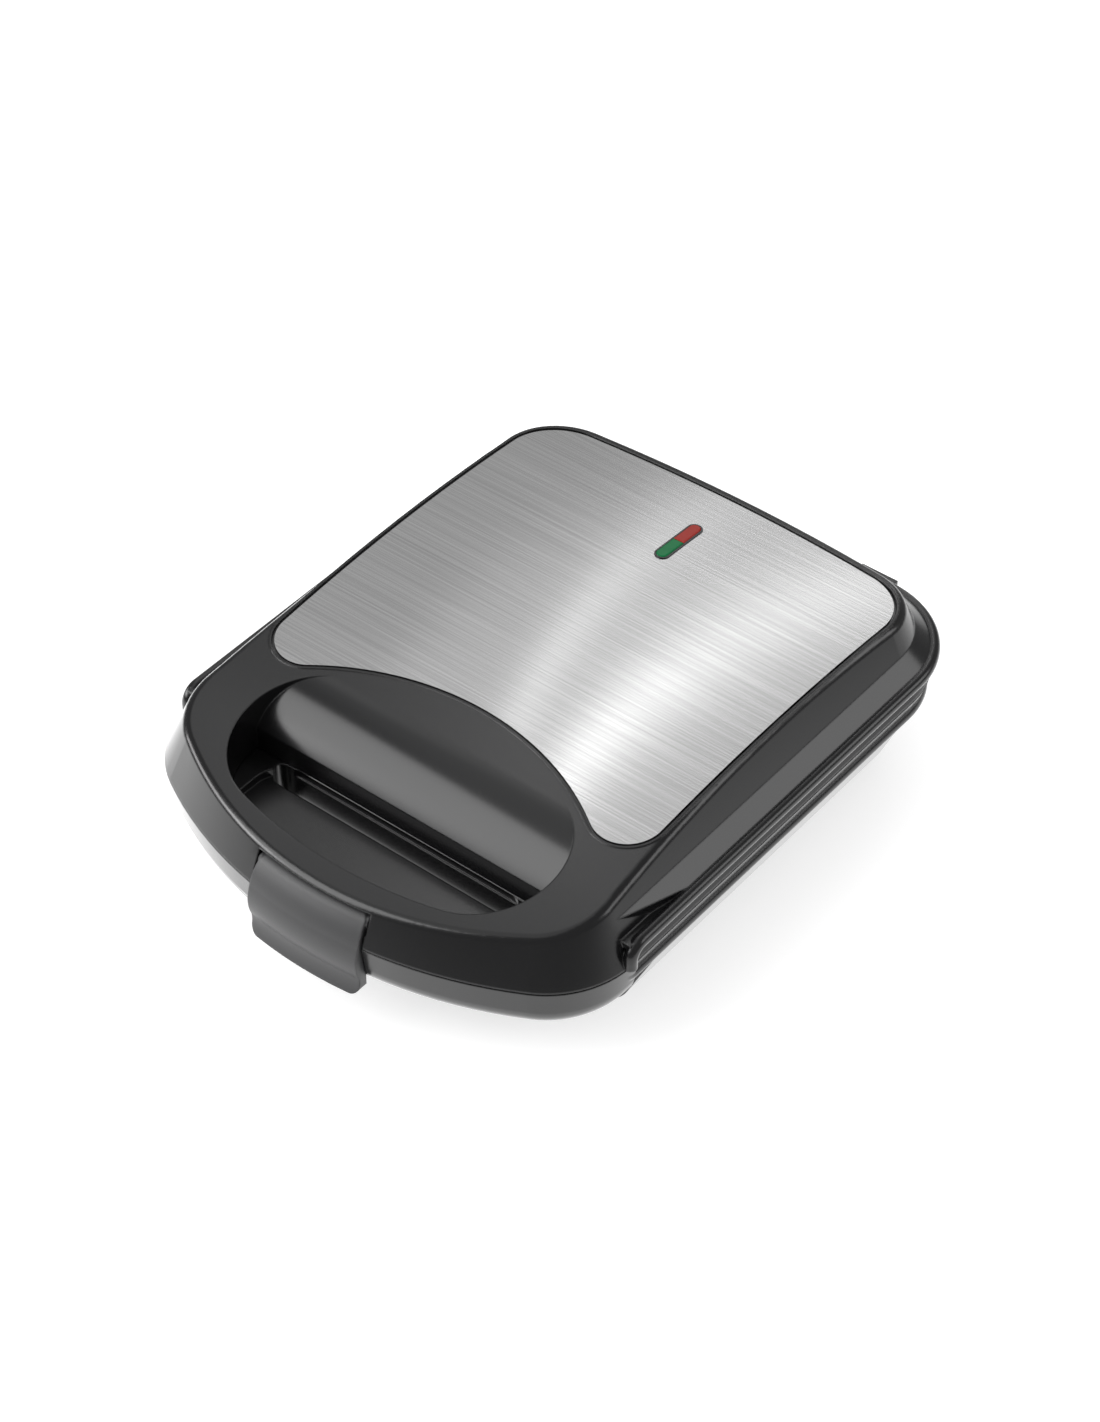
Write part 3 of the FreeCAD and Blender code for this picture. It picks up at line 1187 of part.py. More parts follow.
def terminal_block():
    """Block with a row of wire holes, on the floor of the tub."""
    owner = body("terminal_block")
    half = value("block_length / 2")
    depth = value("block_depth / 2")
    outline = polygon([(-half, -depth), (half, -depth), (half, depth), (-half, depth)])
    pad(owner, "block_pad", body_sketch(owner, "block_outline", "XY_Plane", outline), "block_height")
    height = value("block_height / 2")
    holes = [(Part.Circle(Vector(spot * half * 2 / 3, height, 0), Vector(0, 0, 1), value("block_hole")),
              "block_hole")
             for spot in (-1, 0, 1)]
    pocket(owner, "block_wire_holes", body_sketch(owner, "block_hole_outline", "XZ_Plane", holes),
           "2 * block_depth", symmetric=True)
    return place(owner, "block_x", f"{REAR_Y} - block_setback", "foot_height + wall")


def cable_inlet():
    """Flanged bush in the back wall, where the mains lead goes in."""
    owner = body("cable_inlet")
    bore = value("inlet_bore")
    flange = value("inlet_flange_sheet")
    inside = -value("inlet_length")
    points = [(bore, flange), (value("inlet_flange"), flange), (value("inlet_flange"), 0),
              (value("inlet_sleeve"), 0),
              (value("inlet_sleeve"), inside), (bore, inside)]
    revolve(owner, "inlet_turn", body_sketch(owner, "inlet_profile", "XZ_Plane", polygon(points)))
    return place(owner, "0", f"{REAR_Y} - inlet_inset", "inlet_z", ALONG_Y)


# The latch

def bulge(start, end, out):
    """An arc between two points of a side view, bulged up and to the front."""
    middle = ((start[0] + end[0]) / 2 - out, (start[1] + end[1]) / 2 + out)
    return three_point_arc(start, middle, end)


def latch_profile():
    """Side view of the latch: flared lip, bowed face, brow and flat back."""
    front = value(FRONT_Y)
    proud = front - value("latch_proud")
    waist = front - value("latch_proud / 2")
    back = front + value("latch_back")
    low = value("latch_bottom")
    high = value("latch_top")
    eye_y = front + value("latch_pivot_y")
    tail = eye_y + value("latch_tail")
    lip = low + value("latch_lip")
    edge = value(LID_Z)
    brow = (eye_y - value("latch_brow"), high - value("latch_brow_drop"))
    crest = (eye_y - value("latch_tail"), high)
    soft = value("latch_tail / 2")
    sill = value("latch_pivot_z - latch_eye")
    return [
        line((back, low, 0), (proud, low, 0)),
        three_point_arc((proud, low), (waist, (low + lip) / 2), (waist, lip)),
        three_point_arc((waist, lip), (proud, (lip + edge) / 2), (waist, edge)),
        bulge((waist, edge), brow, soft),
        bulge(brow, crest, soft),
        line((*crest, 0), (tail, high, 0)),
        line((tail, high, 0), (tail, sill, 0)),
        line((tail, sill, 0), (back, edge, 0)),
        line((back, edge, 0), (back, low, 0)),
    ]


def latch():
    """Clip that follows the round front, with a straight eye round its pin."""
    face = front_turn("latch_face", latch_profile(), LATCH_HALF)
    outline = doc.addObject("Sketcher::SketchObject", "latch_front_outline")
    fill(outline, rounded_rectangle(LATCH_HALF, "latch_bottom", "latch_top", "latch_corner"))
    outline.Placement = FreeCAD.Placement(Vector(), FreeCAD.Rotation(Vector(1, 0, 0), 90))
    window = doc.addObject("Part::Extrusion", "latch_front")
    window.Base = outline
    window.DirMode = "Custom"
    window.Dir = Vector(0, 1, 0)
    window.Solid = True
    window.Symmetric = True
    bind(window, LengthFwd=f"2 * {LONG}")
    eye = ("latch_width", f"-{LATCH_HALF}", f"{FRONT_Y} + latch_pivot_y", "latch_pivot_z", ALONG_X)
    barrel = cylinder("latch_barrel", "latch_eye", *eye)
    bore = cylinder("latch_bore", "latch_pin + pin_fit", *eye)
    return cut("latch", fuse("latch_form", [common("latch_clip", [face, window]), barrel]), [bore])


def latch_pin():
    length = "(latch_width + 2 * latch_gap + 2 * latch_ear - 2 * wall)"
    return cylinder("latch_pin", "latch_pin", length, f"-{length} / 2", f"{FRONT_Y} + latch_pivot_y",
                    "latch_pivot_z", ALONG_X)


SCREW_LENGTH = "(post_depth + reflector_sheet + screw_grip - slip)"
PIECES = [
    lid_housing(),
    steel_panel(),
    indicator_bezel(),
    lens("green_lens", -1),
    lens("red_lens", 1),
    lamp_holder(),
    neon_lamps(),
    lid_handle_cover(),
    screw_group("lid_cover_screws", "cover_screw_head", "cover_screw", "cover_sheet + screw_grip - slip",
                LID_Z, 1,
                cover_points()),
    latch_pin(),
    base_housing(),
    feet(),
    hinge_pins(),
    thermostat(),
    thermal_fuse(),
    terminal_block(),
    cable_inlet(),
    latch(),
]
for level, face, way in (("upper", LID_Z, 1), ("lower", BASE_Z, -1)):
    PIECES += [
        cooking_plate(f"{level}_plate", face, way),
        heater(f"{level}_heater", face, way),
        insulators(f"{level}_insulators", face, way),
        heater_clips(f"{level}_heater_clips", face, way),
        reflector(f"{level}_reflector", face, way),
        screw_group(f"{level}_plate_screws", "screw_head", "screw_radius", SCREW_LENGTH, face, way,
                    plate_points()),
    ]
doc.recompute()

for item in doc.Objects:
    if {"Invalid", "Error"} & set(item.State):
        raise RuntimeError(f"{item.Label} failed: {item.State}")

os.makedirs("parts", exist_ok=True)
for item in PIECES:
    shape = item.Shape
    if shape.isNull() or not shape.isValid():
        raise RuntimeError(f"{item.Label} has no valid shape")
    print(item.Label, len(shape.Solids), round(shape.Volume / 1000, 2), shape.BoundBox)
    shape.exportStep(f"parts/{item.Label}.step")
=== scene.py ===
"""Looks of a closed table-top donut maker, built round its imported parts: finishes, stage and camera."""
import math
from typing import NamedTuple

import bpy
from mathutils import Matrix, Vector


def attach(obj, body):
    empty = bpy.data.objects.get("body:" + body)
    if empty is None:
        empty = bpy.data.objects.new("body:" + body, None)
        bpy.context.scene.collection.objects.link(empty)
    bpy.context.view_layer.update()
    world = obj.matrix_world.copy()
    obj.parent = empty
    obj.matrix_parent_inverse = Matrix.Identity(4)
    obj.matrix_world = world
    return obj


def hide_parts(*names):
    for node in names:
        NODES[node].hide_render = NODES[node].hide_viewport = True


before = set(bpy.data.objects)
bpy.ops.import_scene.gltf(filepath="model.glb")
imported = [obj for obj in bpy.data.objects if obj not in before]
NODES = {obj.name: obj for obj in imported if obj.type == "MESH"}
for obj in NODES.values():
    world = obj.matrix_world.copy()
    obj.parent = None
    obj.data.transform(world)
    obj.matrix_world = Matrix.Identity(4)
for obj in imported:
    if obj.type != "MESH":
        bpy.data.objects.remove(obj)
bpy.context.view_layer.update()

bl_info = {
    "name": "Donut maker looks",
    "version": (1, 0, 0),
    "blender": (4, 5, 0),
    "location": "View3D > Sidebar > Donut maker",
    "description": "Finishes, brushed panel and photo stage for a donut maker",
    "category": "Object",
}

MM = 0.001

# Axis of the lid's round crown, which runs from side to side: its place from front to back, and its height
CROWN_Y = 29.1 * MM
CROWN_Z = -723 * MM
# A face whose corners are this close to the crown's radius belongs to the panel's top
CROWN_SLACK = 0.1 * MM
MERGE_DISTANCE = 0.001 * MM
SMOOTH_ANGLE = math.radians(30)

# Patterns of the brushed panel: the length of its lines, and the length and width of its faint bands
LINE_LENGTH = 120 * MM
BAND_LENGTH = 900 * MM
BAND_WIDTH = 4 * MM

# Patch sizes of the other patterns
CLOUD_SIZE = 60 * MM
HAZE_SIZE = 4 * MM
SPECK_SPACING = 1.6 * MM
PEEL_SIZE = 1.2 * MM
RIPPLE_SIZE = 2 * MM
FIBRE_SIZE = 2 * MM

# How far the patterns rise, with more for the tooth of dull solids
BUMP_RISE = 0.05 * MM
TOOTH_RISE = 0.08 * MM
EDGE_SAMPLES = 6

# Strength of the room's light, its strength in glossy surfaces, and the white that the camera sees
ROOM_LIGHT = 0.8
ROOM_SHINE = 0.28
BACKGROUND_WHITE = 1.0
WHITE = (1, 1, 1, 1)
# Shares of the paper's white: what the lights give it, and what it gives itself
PAPER_LIT = 0.65
PAPER_GLOW = 0.6
# Centre of the painted pool of light in the paper, which only glossy surfaces see
PAINTED_POOL_CENTRE = (-0.35, -0.05, 0)
LAMP_AIM = (0, 0, 0.05)
SENSOR_WIDTH = 36.0


class Lamp(NamedTuple):
    """An oblong studio light: place, width and height, power in watts, and the way its height runs."""

    name: str
    place: tuple
    size: tuple
    power: float
    along: tuple = (0, 0, 1)


LAMPS = (
    # Soft light from above
    Lamp("overhead", place=(-0.45, -0.15, 1.9), size=(1.8, 1.2), power=4),
    # Line of light on the lid's left front edge
    Lamp("left_front", place=(-1.5, -1.0, 0.62), size=(1.1, 0.6), power=13),
    # Broad highlight on the roll behind the handle opening
    Lamp("roll_light", place=(-0.88, -1.26, 1.12), size=(1.2, 1.45), power=20),
    # Even shine of the steel panel
    Lamp("back_card", place=(-1.3, 1.65, 2.0), size=(2.4, 2.4), power=8),
    # Bright band on the panel, the soft border of that band, and the faint band to its left
    Lamp("back_strip", place=(-0.695, 1.324, 1.169), size=(0.03, 2.0), power=0.85, along=(0.145, 1, -0.63)),
    Lamp("strip_glow", place=(-0.695, 1.324, 1.169), size=(0.4, 2.0), power=1.0, along=(0.145, 1, -0.63)),
    Lamp("lamp_strip", place=(-0.828, 1.297, 1.139), size=(0.02, 2.0), power=0.25, along=(0.01, 0.97, -0.63)),
    # Shine of the lid's right shoulder
    Lamp("right_card", place=(1.5, 1.09, 1.0), size=(1.5, 0.8), power=9),
)


def linear(hex_colour):
    """An sRGB hex colour as linear red, green and blue."""
    parts = [int(hex_colour[place:place + 2], 16) / 255 for place in (1, 3, 5)]
    return tuple(part / 12.92 if part <= 0.04045 else ((part + 0.055) / 1.055) ** 2.4 for part in parts)


def colour(name, hex_colour, about):
    """A colour setting, written as sRGB hex."""
    return bpy.props.FloatVectorProperty(
        name=name, description=about, default=linear(hex_colour), subtype="COLOR", size=3, min=0, max=1)


def length(name, metres, about):
    """A length setting."""
    return bpy.props.FloatProperty(name=name, description=about, default=metres, unit="LENGTH", min=0)


def spot(name, place, about):
    """A setting for a point in the scene."""
    return bpy.props.FloatVectorProperty(name=name, description=about, default=place, subtype="TRANSLATION")


class DonutMakerFinish(bpy.types.PropertyGroup):
    """Colours of the donut maker's surfaces, and the sizes of their grain."""

    housing: colour("Housing", "#0f0f10", "Black of the moulded lid and base")
    trim: colour("Trim", "#0c0c0d", "Black of the rim round the lamps and of the inlet")
    clip: colour("Latch", "#333334", "Dark grey of the latch")
    steel: colour("Panel", "#a9a9a9", "Brushed steel of the lid's panel")
    green: colour("Green lens", "#0b6438", "Lens of the ready lamp")
    red: colour("Red lens", "#8c2a22", "Lens of the power lamp")
    lamp: colour("Lamp glass", "#ffd9b8", "Warm tint of the neon lamps")
    coating: colour("Coating", "#26262a", "Non-stick coat of the cooking plates")
    speckle: colour("Speckle", "#56565c", "Pale specks in the non-stick coat")
    zinc: colour("Zinc", "#b9bcc0", "Zinc plate of screws, clips, pins and fuse")
    sheath: colour("Element", "#6d655c", "Steel sheath of the heating elements")
    shield: colour("Heat shield", "#d2d2d0", "Rolled aluminium of the heat shields")
    ceramic: colour("Ceramic", "#e4ded2", "Collars and thermostat body")
    block: colour("Terminal block", "#e9e7e0", "Moulded terminal block")
    rubber: colour("Feet", "#232323", "Rubber feet")
    grain: length("Plastic grain", 0.7 * MM, "Width of the fine grain on the moulded plastic")
    scratch: length("Brush line", 0.8 * MM, "Distance between brush lines on the panel")


class DonutMakerStage(bpy.types.PropertyGroup):
    """Where the photo was taken from, and the paper below the object."""

    floor_colour: colour("Floor", "#f4f4f4", "White paper sweep")
    floor_size: length("Floor size", 8.0, "Side of the white floor")
    lens: bpy.props.FloatProperty(
        name="Lens", description="Focal length in millimetres", default=88.63, min=1)
    camera_place: spot("Camera", (0.6462, -0.8044, 1.0133), "Place of the camera")
    camera_aim: spot("Aim", (0.0239, -0.0278, 0.082), "Point that the camera looks at")


def finish_settings():
    """The finish settings of this scene."""
    return bpy.context.scene.donut_maker_finish


def stage_settings():
    """The stage settings of this scene."""
    return bpy.context.scene.donut_maker_stage


def add(tree, kind, inputs, **settings):
    """Add a node: its settings, then its inputs by name, each a value or another node's output."""
    node = tree.nodes.new(kind)
    for name, setting in settings.items():
        setattr(node, name, setting)
    for name, given in inputs.items():
        if isinstance(given, bpy.types.NodeSocket):
            tree.links.new(given, node.inputs[name])
        else:
            node.inputs[name].default_value = given
    return node


def start_material(name):
    """A material without nodes: gives the material and its node tree."""
    material = bpy.data.materials.new(name)
    material.use_nodes = True
    material.node_tree.nodes.clear()
    return material, material.node_tree


def opaque(rgb):
    """A colour in the form that a shader takes."""
    return (*rgb, 1.0)


def shift(rgb, factor):
    """A colour made lighter or darker by a factor."""
    return opaque(min(1.0, part * factor) for part in rgb)


def dress(material, *names):
    """Give CAD nodes a material."""
    for name in names:
        NODES[name].data.materials.clear()
        NODES[name].data.materials.append(material)


def moulded_plastic(name, rgb, roughness, grain_depth, soft_edge=0.0):
    """Injection-moulded plastic: a fine spark-eroded grain breaks up the reflection.

    With a soft edge, every edge has a small round that catches a thin line of light. The real grain is finer,
    and is drawn coarser so that it shows.
    """
    material, tree = start_material(name)
    place = add(tree, "ShaderNodeTexCoord", {}).outputs["Object"]
    grain = add(tree, "ShaderNodeTexNoise", {
        "Vector": place, "Scale": 1 / finish_settings().grain, "Detail": 3.0, "Roughness": 0.6})
    cloud = add(tree, "ShaderNodeTexNoise", {"Vector": place, "Scale": 1 / CLOUD_SIZE, "Detail": 2.0})
    tint = add(tree, "ShaderNodeMix", {
        "Factor": cloud.outputs["Fac"], "A": shift(rgb, 0.92), "B": shift(rgb, 1.08)}, data_type="RGBA")
    shine = add(tree, "ShaderNodeMapRange", {
        "Value": grain.outputs["Fac"], "To Min": roughness * 0.9, "To Max": roughness * 1.12})
    bump = add(tree, "ShaderNodeBump", {
        "Height": grain.outputs["Fac"], "Strength": grain_depth, "Distance": BUMP_RISE})
    if soft_edge:
        edge = add(tree, "ShaderNodeBevel", {"Radius": soft_edge}, samples=EDGE_SAMPLES)
        tree.links.new(edge.outputs["Normal"], bump.inputs["Normal"])
    shader = add(tree, "ShaderNodeBsdfPrincipled", {
        "Base Color": tint.outputs["Result"],
        "Roughness": shine.outputs["Result"],
        "Normal": bump.outputs["Normal"],
        "IOR": 1.53,
    })
    add(tree, "ShaderNodeOutputMaterial", {"Surface": shader.outputs["BSDF"]})
    return material


def brushed_steel():
    """Stainless sheet brushed from side to side: fine lines along X that stretch each highlight along Y.

    The lines follow the piece's own UV map, which is laid out in metres.
    """
    material, tree = start_material("Brushed stainless steel")
    settings = finish_settings()
    rgb = settings.steel
    uv = add(tree, "ShaderNodeUVMap", {}, uv_map="brush").outputs["UV"]
    narrow = add(tree, "ShaderNodeMapping", {
        "Vector": uv, "Scale": (1 / LINE_LENGTH, 1 / settings.scratch, 1)})
    lines = add(tree, "ShaderNodeTexNoise", {
        "Vector": narrow.outputs["Vector"], "Scale": 1.0, "Detail": 2.0, "Roughness": 0.6})
    streak = add(tree, "ShaderNodeMapRange", {
        "Value": lines.outputs["Fac"], "From Min": 0.3, "From Max": 0.7})
    wide = add(tree, "ShaderNodeMapping", {"Vector": uv, "Scale": (1 / BAND_LENGTH, 1 / BAND_WIDTH, 1)})
    bands = add(tree, "ShaderNodeTexNoise", {"Vector": wide.outputs["Vector"], "Scale": 1.0, "Detail": 2.0})
    tint = add(tree, "ShaderNodeMix", {
        "Factor": streak.outputs["Result"], "A": shift(rgb, 0.84), "B": shift(rgb, 1.12)}, data_type="RGBA")
    shine = add(tree, "ShaderNodeMapRange", {"Value": bands.outputs["Fac"], "To Min": 0.15, "To Max": 0.18})
    along = add(tree, "ShaderNodeTangent", {}, direction_type="UV_MAP", uv_map="brush")
    shader = add(tree, "ShaderNodeBsdfPrincipled", {
        "Base Color": tint.outputs["Result"],
        "Metallic": 1.0,
        "Roughness": shine.outputs["Result"],
        "Anisotropic": 1.0,
        "Anisotropic Rotation": 0.25,
        "Tangent": along.outputs["Tangent"],
    })
    add(tree, "ShaderNodeOutputMaterial", {"Surface": shader.outputs["BSDF"]})
    return material


def clear_lens(name, rgb):
    """Tinted acrylic: a deep colour that is darker at a slant, where the light's path through it is longer.

    Its shine is held low, so that the lens keeps its colour under the studio's lights.
    """
    material, tree = start_material(name)
    place = add(tree, "ShaderNodeTexCoord", {}).outputs["Object"]
    haze = add(tree, "ShaderNodeTexNoise", {"Vector": place, "Scale": 1 / HAZE_SIZE, "Detail": 2.0})
    tint = add(tree, "ShaderNodeMix", {
        "Factor": haze.outputs["Fac"], "A": shift(rgb, 0.9), "B": shift(rgb, 1.15)}, data_type="RGBA")
    slant = add(tree, "ShaderNodeLayerWeight", {"Blend": 0.35})
    deep = add(tree, "ShaderNodeMix", {
        "Factor": slant.outputs["Facing"], "A": tint.outputs["Result"], "B": shift(rgb, 0.35)},
        data_type="RGBA")
    shader = add(tree, "ShaderNodeBsdfPrincipled", {
        "Base Color": deep.outputs["Result"],
        "Roughness": 0.1,
        "IOR": 1.49,
        "Specular IOR Level": 0.12,
    })
    add(tree, "ShaderNodeOutputMaterial", {"Surface": shader.outputs["BSDF"]})
    return material


def coated_plate():
    """Cast aluminium with a non-stick coat: satin, near black, with pale specks and a slight orange peel."""
    material, tree = start_material("Non-stick coated aluminium")
    settings = finish_settings()
    place = add(tree, "ShaderNodeTexCoord", {}).outputs["Object"]
    cells = add(tree, "ShaderNodeTexVoronoi", {"Vector": place, "Scale": 1 / SPECK_SPACING})
    speck = add(tree, "ShaderNodeMapRange", {
        "Value": cells.outputs["Distance"], "From Min": 0.12, "From Max": 0.2, "To Min": 1.0, "To Max": 0.0})
    tint = add(tree, "ShaderNodeMix", {
        "Factor": speck.outputs["Result"], "A": opaque(settings.coating), "B": opaque(settings.speckle)},
        data_type="RGBA")
    peel = add(tree, "ShaderNodeTexNoise", {"Vector": place, "Scale": 1 / PEEL_SIZE, "Detail": 2.0})
    bump = add(tree, "ShaderNodeBump", {
        "Height": peel.outputs["Fac"], "Strength": 0.15, "Distance": BUMP_RISE})
    shader = add(tree, "ShaderNodeBsdfPrincipled", {
        "Base Color": tint.outputs["Result"],
        "Roughness": 0.38,
        "Normal": bump.outputs["Normal"],
        "IOR": 1.38,
    })
    add(tree, "ShaderNodeOutputMaterial", {"Surface": shader.outputs["BSDF"]})
    return material


def bare_metal(name, rgb, roughness, grain, depth):
    """Plain metal with a faint mottle of its own making: plating, rolling or heat."""
    material, tree = start_material(name)
    place = add(tree, "ShaderNodeTexCoord", {}).outputs["Object"]
    mottle = add(tree, "ShaderNodeTexNoise", {"Vector": place, "Scale": 1 / grain, "Detail": 4.0})
    tint = add(tree, "ShaderNodeMix", {
        "Factor": mottle.outputs["Fac"], "A": shift(rgb, 0.8), "B": shift(rgb, 1.12)}, data_type="RGBA")
    shine = add(tree, "ShaderNodeMapRange", {
        "Value": mottle.outputs["Fac"], "To Min": roughness * 0.75, "To Max": roughness * 1.25})
    bump = add(tree, "ShaderNodeBump", {
        "Height": mottle.outputs["Fac"], "Strength": depth, "Distance": BUMP_RISE})
    shader = add(tree, "ShaderNodeBsdfPrincipled", {
        "Base Color": tint.outputs["Result"],
        "Metallic": 1.0,
        "Roughness": shine.outputs["Result"],
        "Normal": bump.outputs["Normal"],
    })
    add(tree, "ShaderNodeOutputMaterial", {"Surface": shader.outputs["BSDF"]})
    return material


def matt_solid(name, rgb, roughness, grain, ior):
    """A dull fired or moulded body with a fine even tooth that scatters the light."""
    material, tree = start_material(name)
    place = add(tree, "ShaderNodeTexCoord", {}).outputs["Object"]
    tooth = add(tree, "ShaderNodeTexNoise", {"Vector": place, "Scale": 1 / grain, "Detail": 5.0})
    tint = add(tree, "ShaderNodeMix", {
        "Factor": tooth.outputs["Fac"], "A": shift(rgb, 0.88), "B": shift(rgb, 1.06)}, data_type="RGBA")
    bump = add(tree, "ShaderNodeBump", {
        "Height": tooth.outputs["Fac"], "Strength": 0.25, "Distance": TOOTH_RISE})
    shader = add(tree, "ShaderNodeBsdfPrincipled", {
        "Base Color": tint.outputs["Result"],
        "Roughness": roughness,
        "Normal": bump.outputs["Normal"],
        "IOR": ior,
    })
    add(tree, "ShaderNodeOutputMaterial", {"Surface": shader.outputs["BSDF"]})
    return material


def lamp_glass():
    """Thin glass of a neon lamp: clear, with a warm tint from the gas."""
    material, tree = start_material("Neon lamp glass")
    place = add(tree, "ShaderNodeTexCoord", {}).outputs["Object"]
    ripple = add(tree, "ShaderNodeTexNoise", {"Vector": place, "Scale": 1 / RIPPLE_SIZE})
    bump = add(tree, "ShaderNodeBump", {
        "Height": ripple.outputs["Fac"], "Strength": 0.05, "Distance": BUMP_RISE})
    shader = add(tree, "ShaderNodeBsdfPrincipled", {
        "Base Color": opaque(finish_settings().lamp),
        "Roughness": 0.05,
        "IOR": 1.5,
        "Transmission Weight": 0.9,
        "Normal": bump.outputs["Normal"],
    })
    add(tree, "ShaderNodeOutputMaterial", {"Surface": shader.outputs["BSDF"]})
    return material


class DONUT_OT_housings(bpy.types.Operator):
    """Black moulded lid, base and handle cover"""
    bl_idname = "donut_maker.housings"
    bl_label = "Housings"

    def execute(self, context):
        black = finish_settings().housing
        shell = moulded_plastic(
            "Moulded black ABS", black, roughness=0.2, grain_depth=0.02, soft_edge=1.0 * MM)
        dress(shell, "lid_housing", "base_housing", "lid_handle_cover")
        return {"FINISHED"}


def crown_normals(mesh):
    """True normals of the sheet's curved top, so that its long triangles don't show in the shine.

    A face belongs to the curved top if all its corners lie on the top's radius.
    """
    spokes = [Vector((0, vertex.co.y - CROWN_Y, vertex.co.z - CROWN_Z)) for vertex in mesh.vertices]
    top_radius = max(spoke.length for spoke in spokes)
    normals = []
    for face in mesh.polygons:
        on_top = min(spokes[corner].length for corner in face.vertices) > top_radius - CROWN_SLACK
        for corner in face.vertices:
            normals.append(spokes[corner].normalized() if on_top else face.normal.copy())
    return normals


def lay_brush_map(mesh):
    """Give a mesh one UV map, in metres from side to side and from front to back."""
    while mesh.uv_layers:
        mesh.uv_layers.remove(mesh.uv_layers[0])
    brush = mesh.uv_layers.new(name="brush")
    for corner in mesh.loops:
        place = mesh.vertices[corner.vertex_index].co
        brush.data[corner.index].uv = (place.x, place.y)


class DONUT_OT_panel(bpy.types.Operator):
    """Brushed steel panel, with a map that its brush lines follow"""
    bl_idname = "donut_maker.panel"
    bl_label = "Steel panel"

    def execute(self, context):
        bpy.ops.object.select_all(action="DESELECT")
        sheet = bpy.data.objects.new("brushed_panel", NODES["steel_panel"].data.copy())
        context.scene.collection.objects.link(sheet)
        context.view_layer.objects.active = sheet
        sheet.select_set(True)
        bpy.ops.object.mode_set(mode="EDIT")
        bpy.ops.mesh.select_all(action="SELECT")
        bpy.ops.mesh.remove_doubles(threshold=MERGE_DISTANCE)
        bpy.ops.object.mode_set(mode="OBJECT")
        lay_brush_map(sheet.data)
        bpy.ops.object.shade_smooth_by_angle(angle=SMOOTH_ANGLE)
        sheet.data.normals_split_custom_set(crown_normals(sheet.data))
        sheet.data.materials.clear()
        sheet.data.materials.append(brushed_steel())
        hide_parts("steel_panel")
        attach(sheet, "lid")
        return {"FINISHED"}


class DONUT_OT_indicator(bpy.types.Operator):
    """Rim, lenses, lamp holder and lamps of the indicator, and the inlet, which has the rim's plastic"""
    bl_idname = "donut_maker.indicator"
    bl_label = "Indicator"

    def execute(self, context):
        settings = finish_settings()
        rim = moulded_plastic("Smooth black rim", settings.trim, roughness=0.22, grain_depth=0.03)
        dress(rim, "indicator_bezel", "lamp_holder", "cable_inlet")
        dress(clear_lens("Green acrylic", settings.green), "green_lens")
        dress(clear_lens("Red acrylic", settings.red), "red_lens")
        dress(lamp_glass(), "neon_lamps")
        return {"FINISHED"}


class DONUT_OT_latch(bpy.types.Operator):
    """Dark grey latch at the front"""
    bl_idname = "donut_maker.latch"
    bl_label = "Latch"

    def execute(self, context):
        grey = finish_settings().clip
        nylon = moulded_plastic("Matt grey nylon", grey, roughness=0.45, grain_depth=0.1, soft_edge=1.2 * MM)
        dress(nylon, "latch")
        return {"FINISHED"}


class DONUT_OT_plates(bpy.types.Operator):
    """Cooking plates"""
    bl_idname = "donut_maker.plates"
    bl_label = "Cooking plates"

    def execute(self, context):
        dress(coated_plate(), "upper_plate", "lower_plate")
        return {"FINISHED"}


class DONUT_OT_heating(bpy.types.Operator):
    """Heating elements, heat shields, collars, thermostat and terminal block"""
    bl_idname = "donut_maker.heating"
    bl_label = "Heating"

    def execute(self, context):
        settings = finish_settings()
        tube = bare_metal("Heat-dulled steel tube", settings.sheath, roughness=0.45, grain=3 * MM, depth=0.1)
        dress(tube, "upper_heater", "lower_heater")
        sheet = bare_metal("Rolled aluminium sheet", settings.shield, roughness=0.3, grain=6 * MM, depth=0.04)
        dress(sheet, "upper_reflector", "lower_reflector")
        fired = matt_solid("Steatite ceramic", settings.ceramic, roughness=0.5, grain=0.6 * MM, ior=1.6)
        dress(fired, "upper_insulators", "lower_insulators", "thermostat")
        nylon = matt_solid("White moulded nylon", settings.block, roughness=0.42, grain=0.8 * MM, ior=1.53)
        dress(nylon, "terminal_block")
        return {"FINISHED"}


class DONUT_OT_hardware(bpy.types.Operator):
    """Screws, clips, pins, fuse and feet"""
    bl_idname = "donut_maker.hardware"
    bl_label = "Hardware"

    def execute(self, context):
        settings = finish_settings()
        plated = bare_metal("Zinc-plated steel", settings.zinc, roughness=0.34, grain=1.5 * MM, depth=0.06)
        dress(plated, "lid_cover_screws", "upper_plate_screws", "lower_plate_screws", "upper_heater_clips",
              "lower_heater_clips", "hinge_pins", "latch_pin", "thermal_fuse")
        rubber = matt_solid("Moulded rubber", settings.rubber, roughness=0.8, grain=0.5 * MM, ior=1.52)
        dress(rubber, "feet")
        return {"FINISHED"}


def softbox(lamp):
    """Set up one of the studio's lights, turned to the object."""
    data = bpy.data.lights.new(lamp.name, "AREA")
    data.shape = "RECTANGLE"
    data.size, data.size_y = lamp.size
    data.energy = lamp.power
    box = bpy.data.objects.new(lamp.name, data)
    bpy.context.scene.collection.objects.link(box)
    box.location = lamp.place
    away = (Vector(lamp.place) - Vector(LAMP_AIM)).normalized()
    side = Vector(lamp.along).cross(away).normalized()
    box.rotation_euler = Matrix((side, away.cross(side), away)).transposed().to_euler()


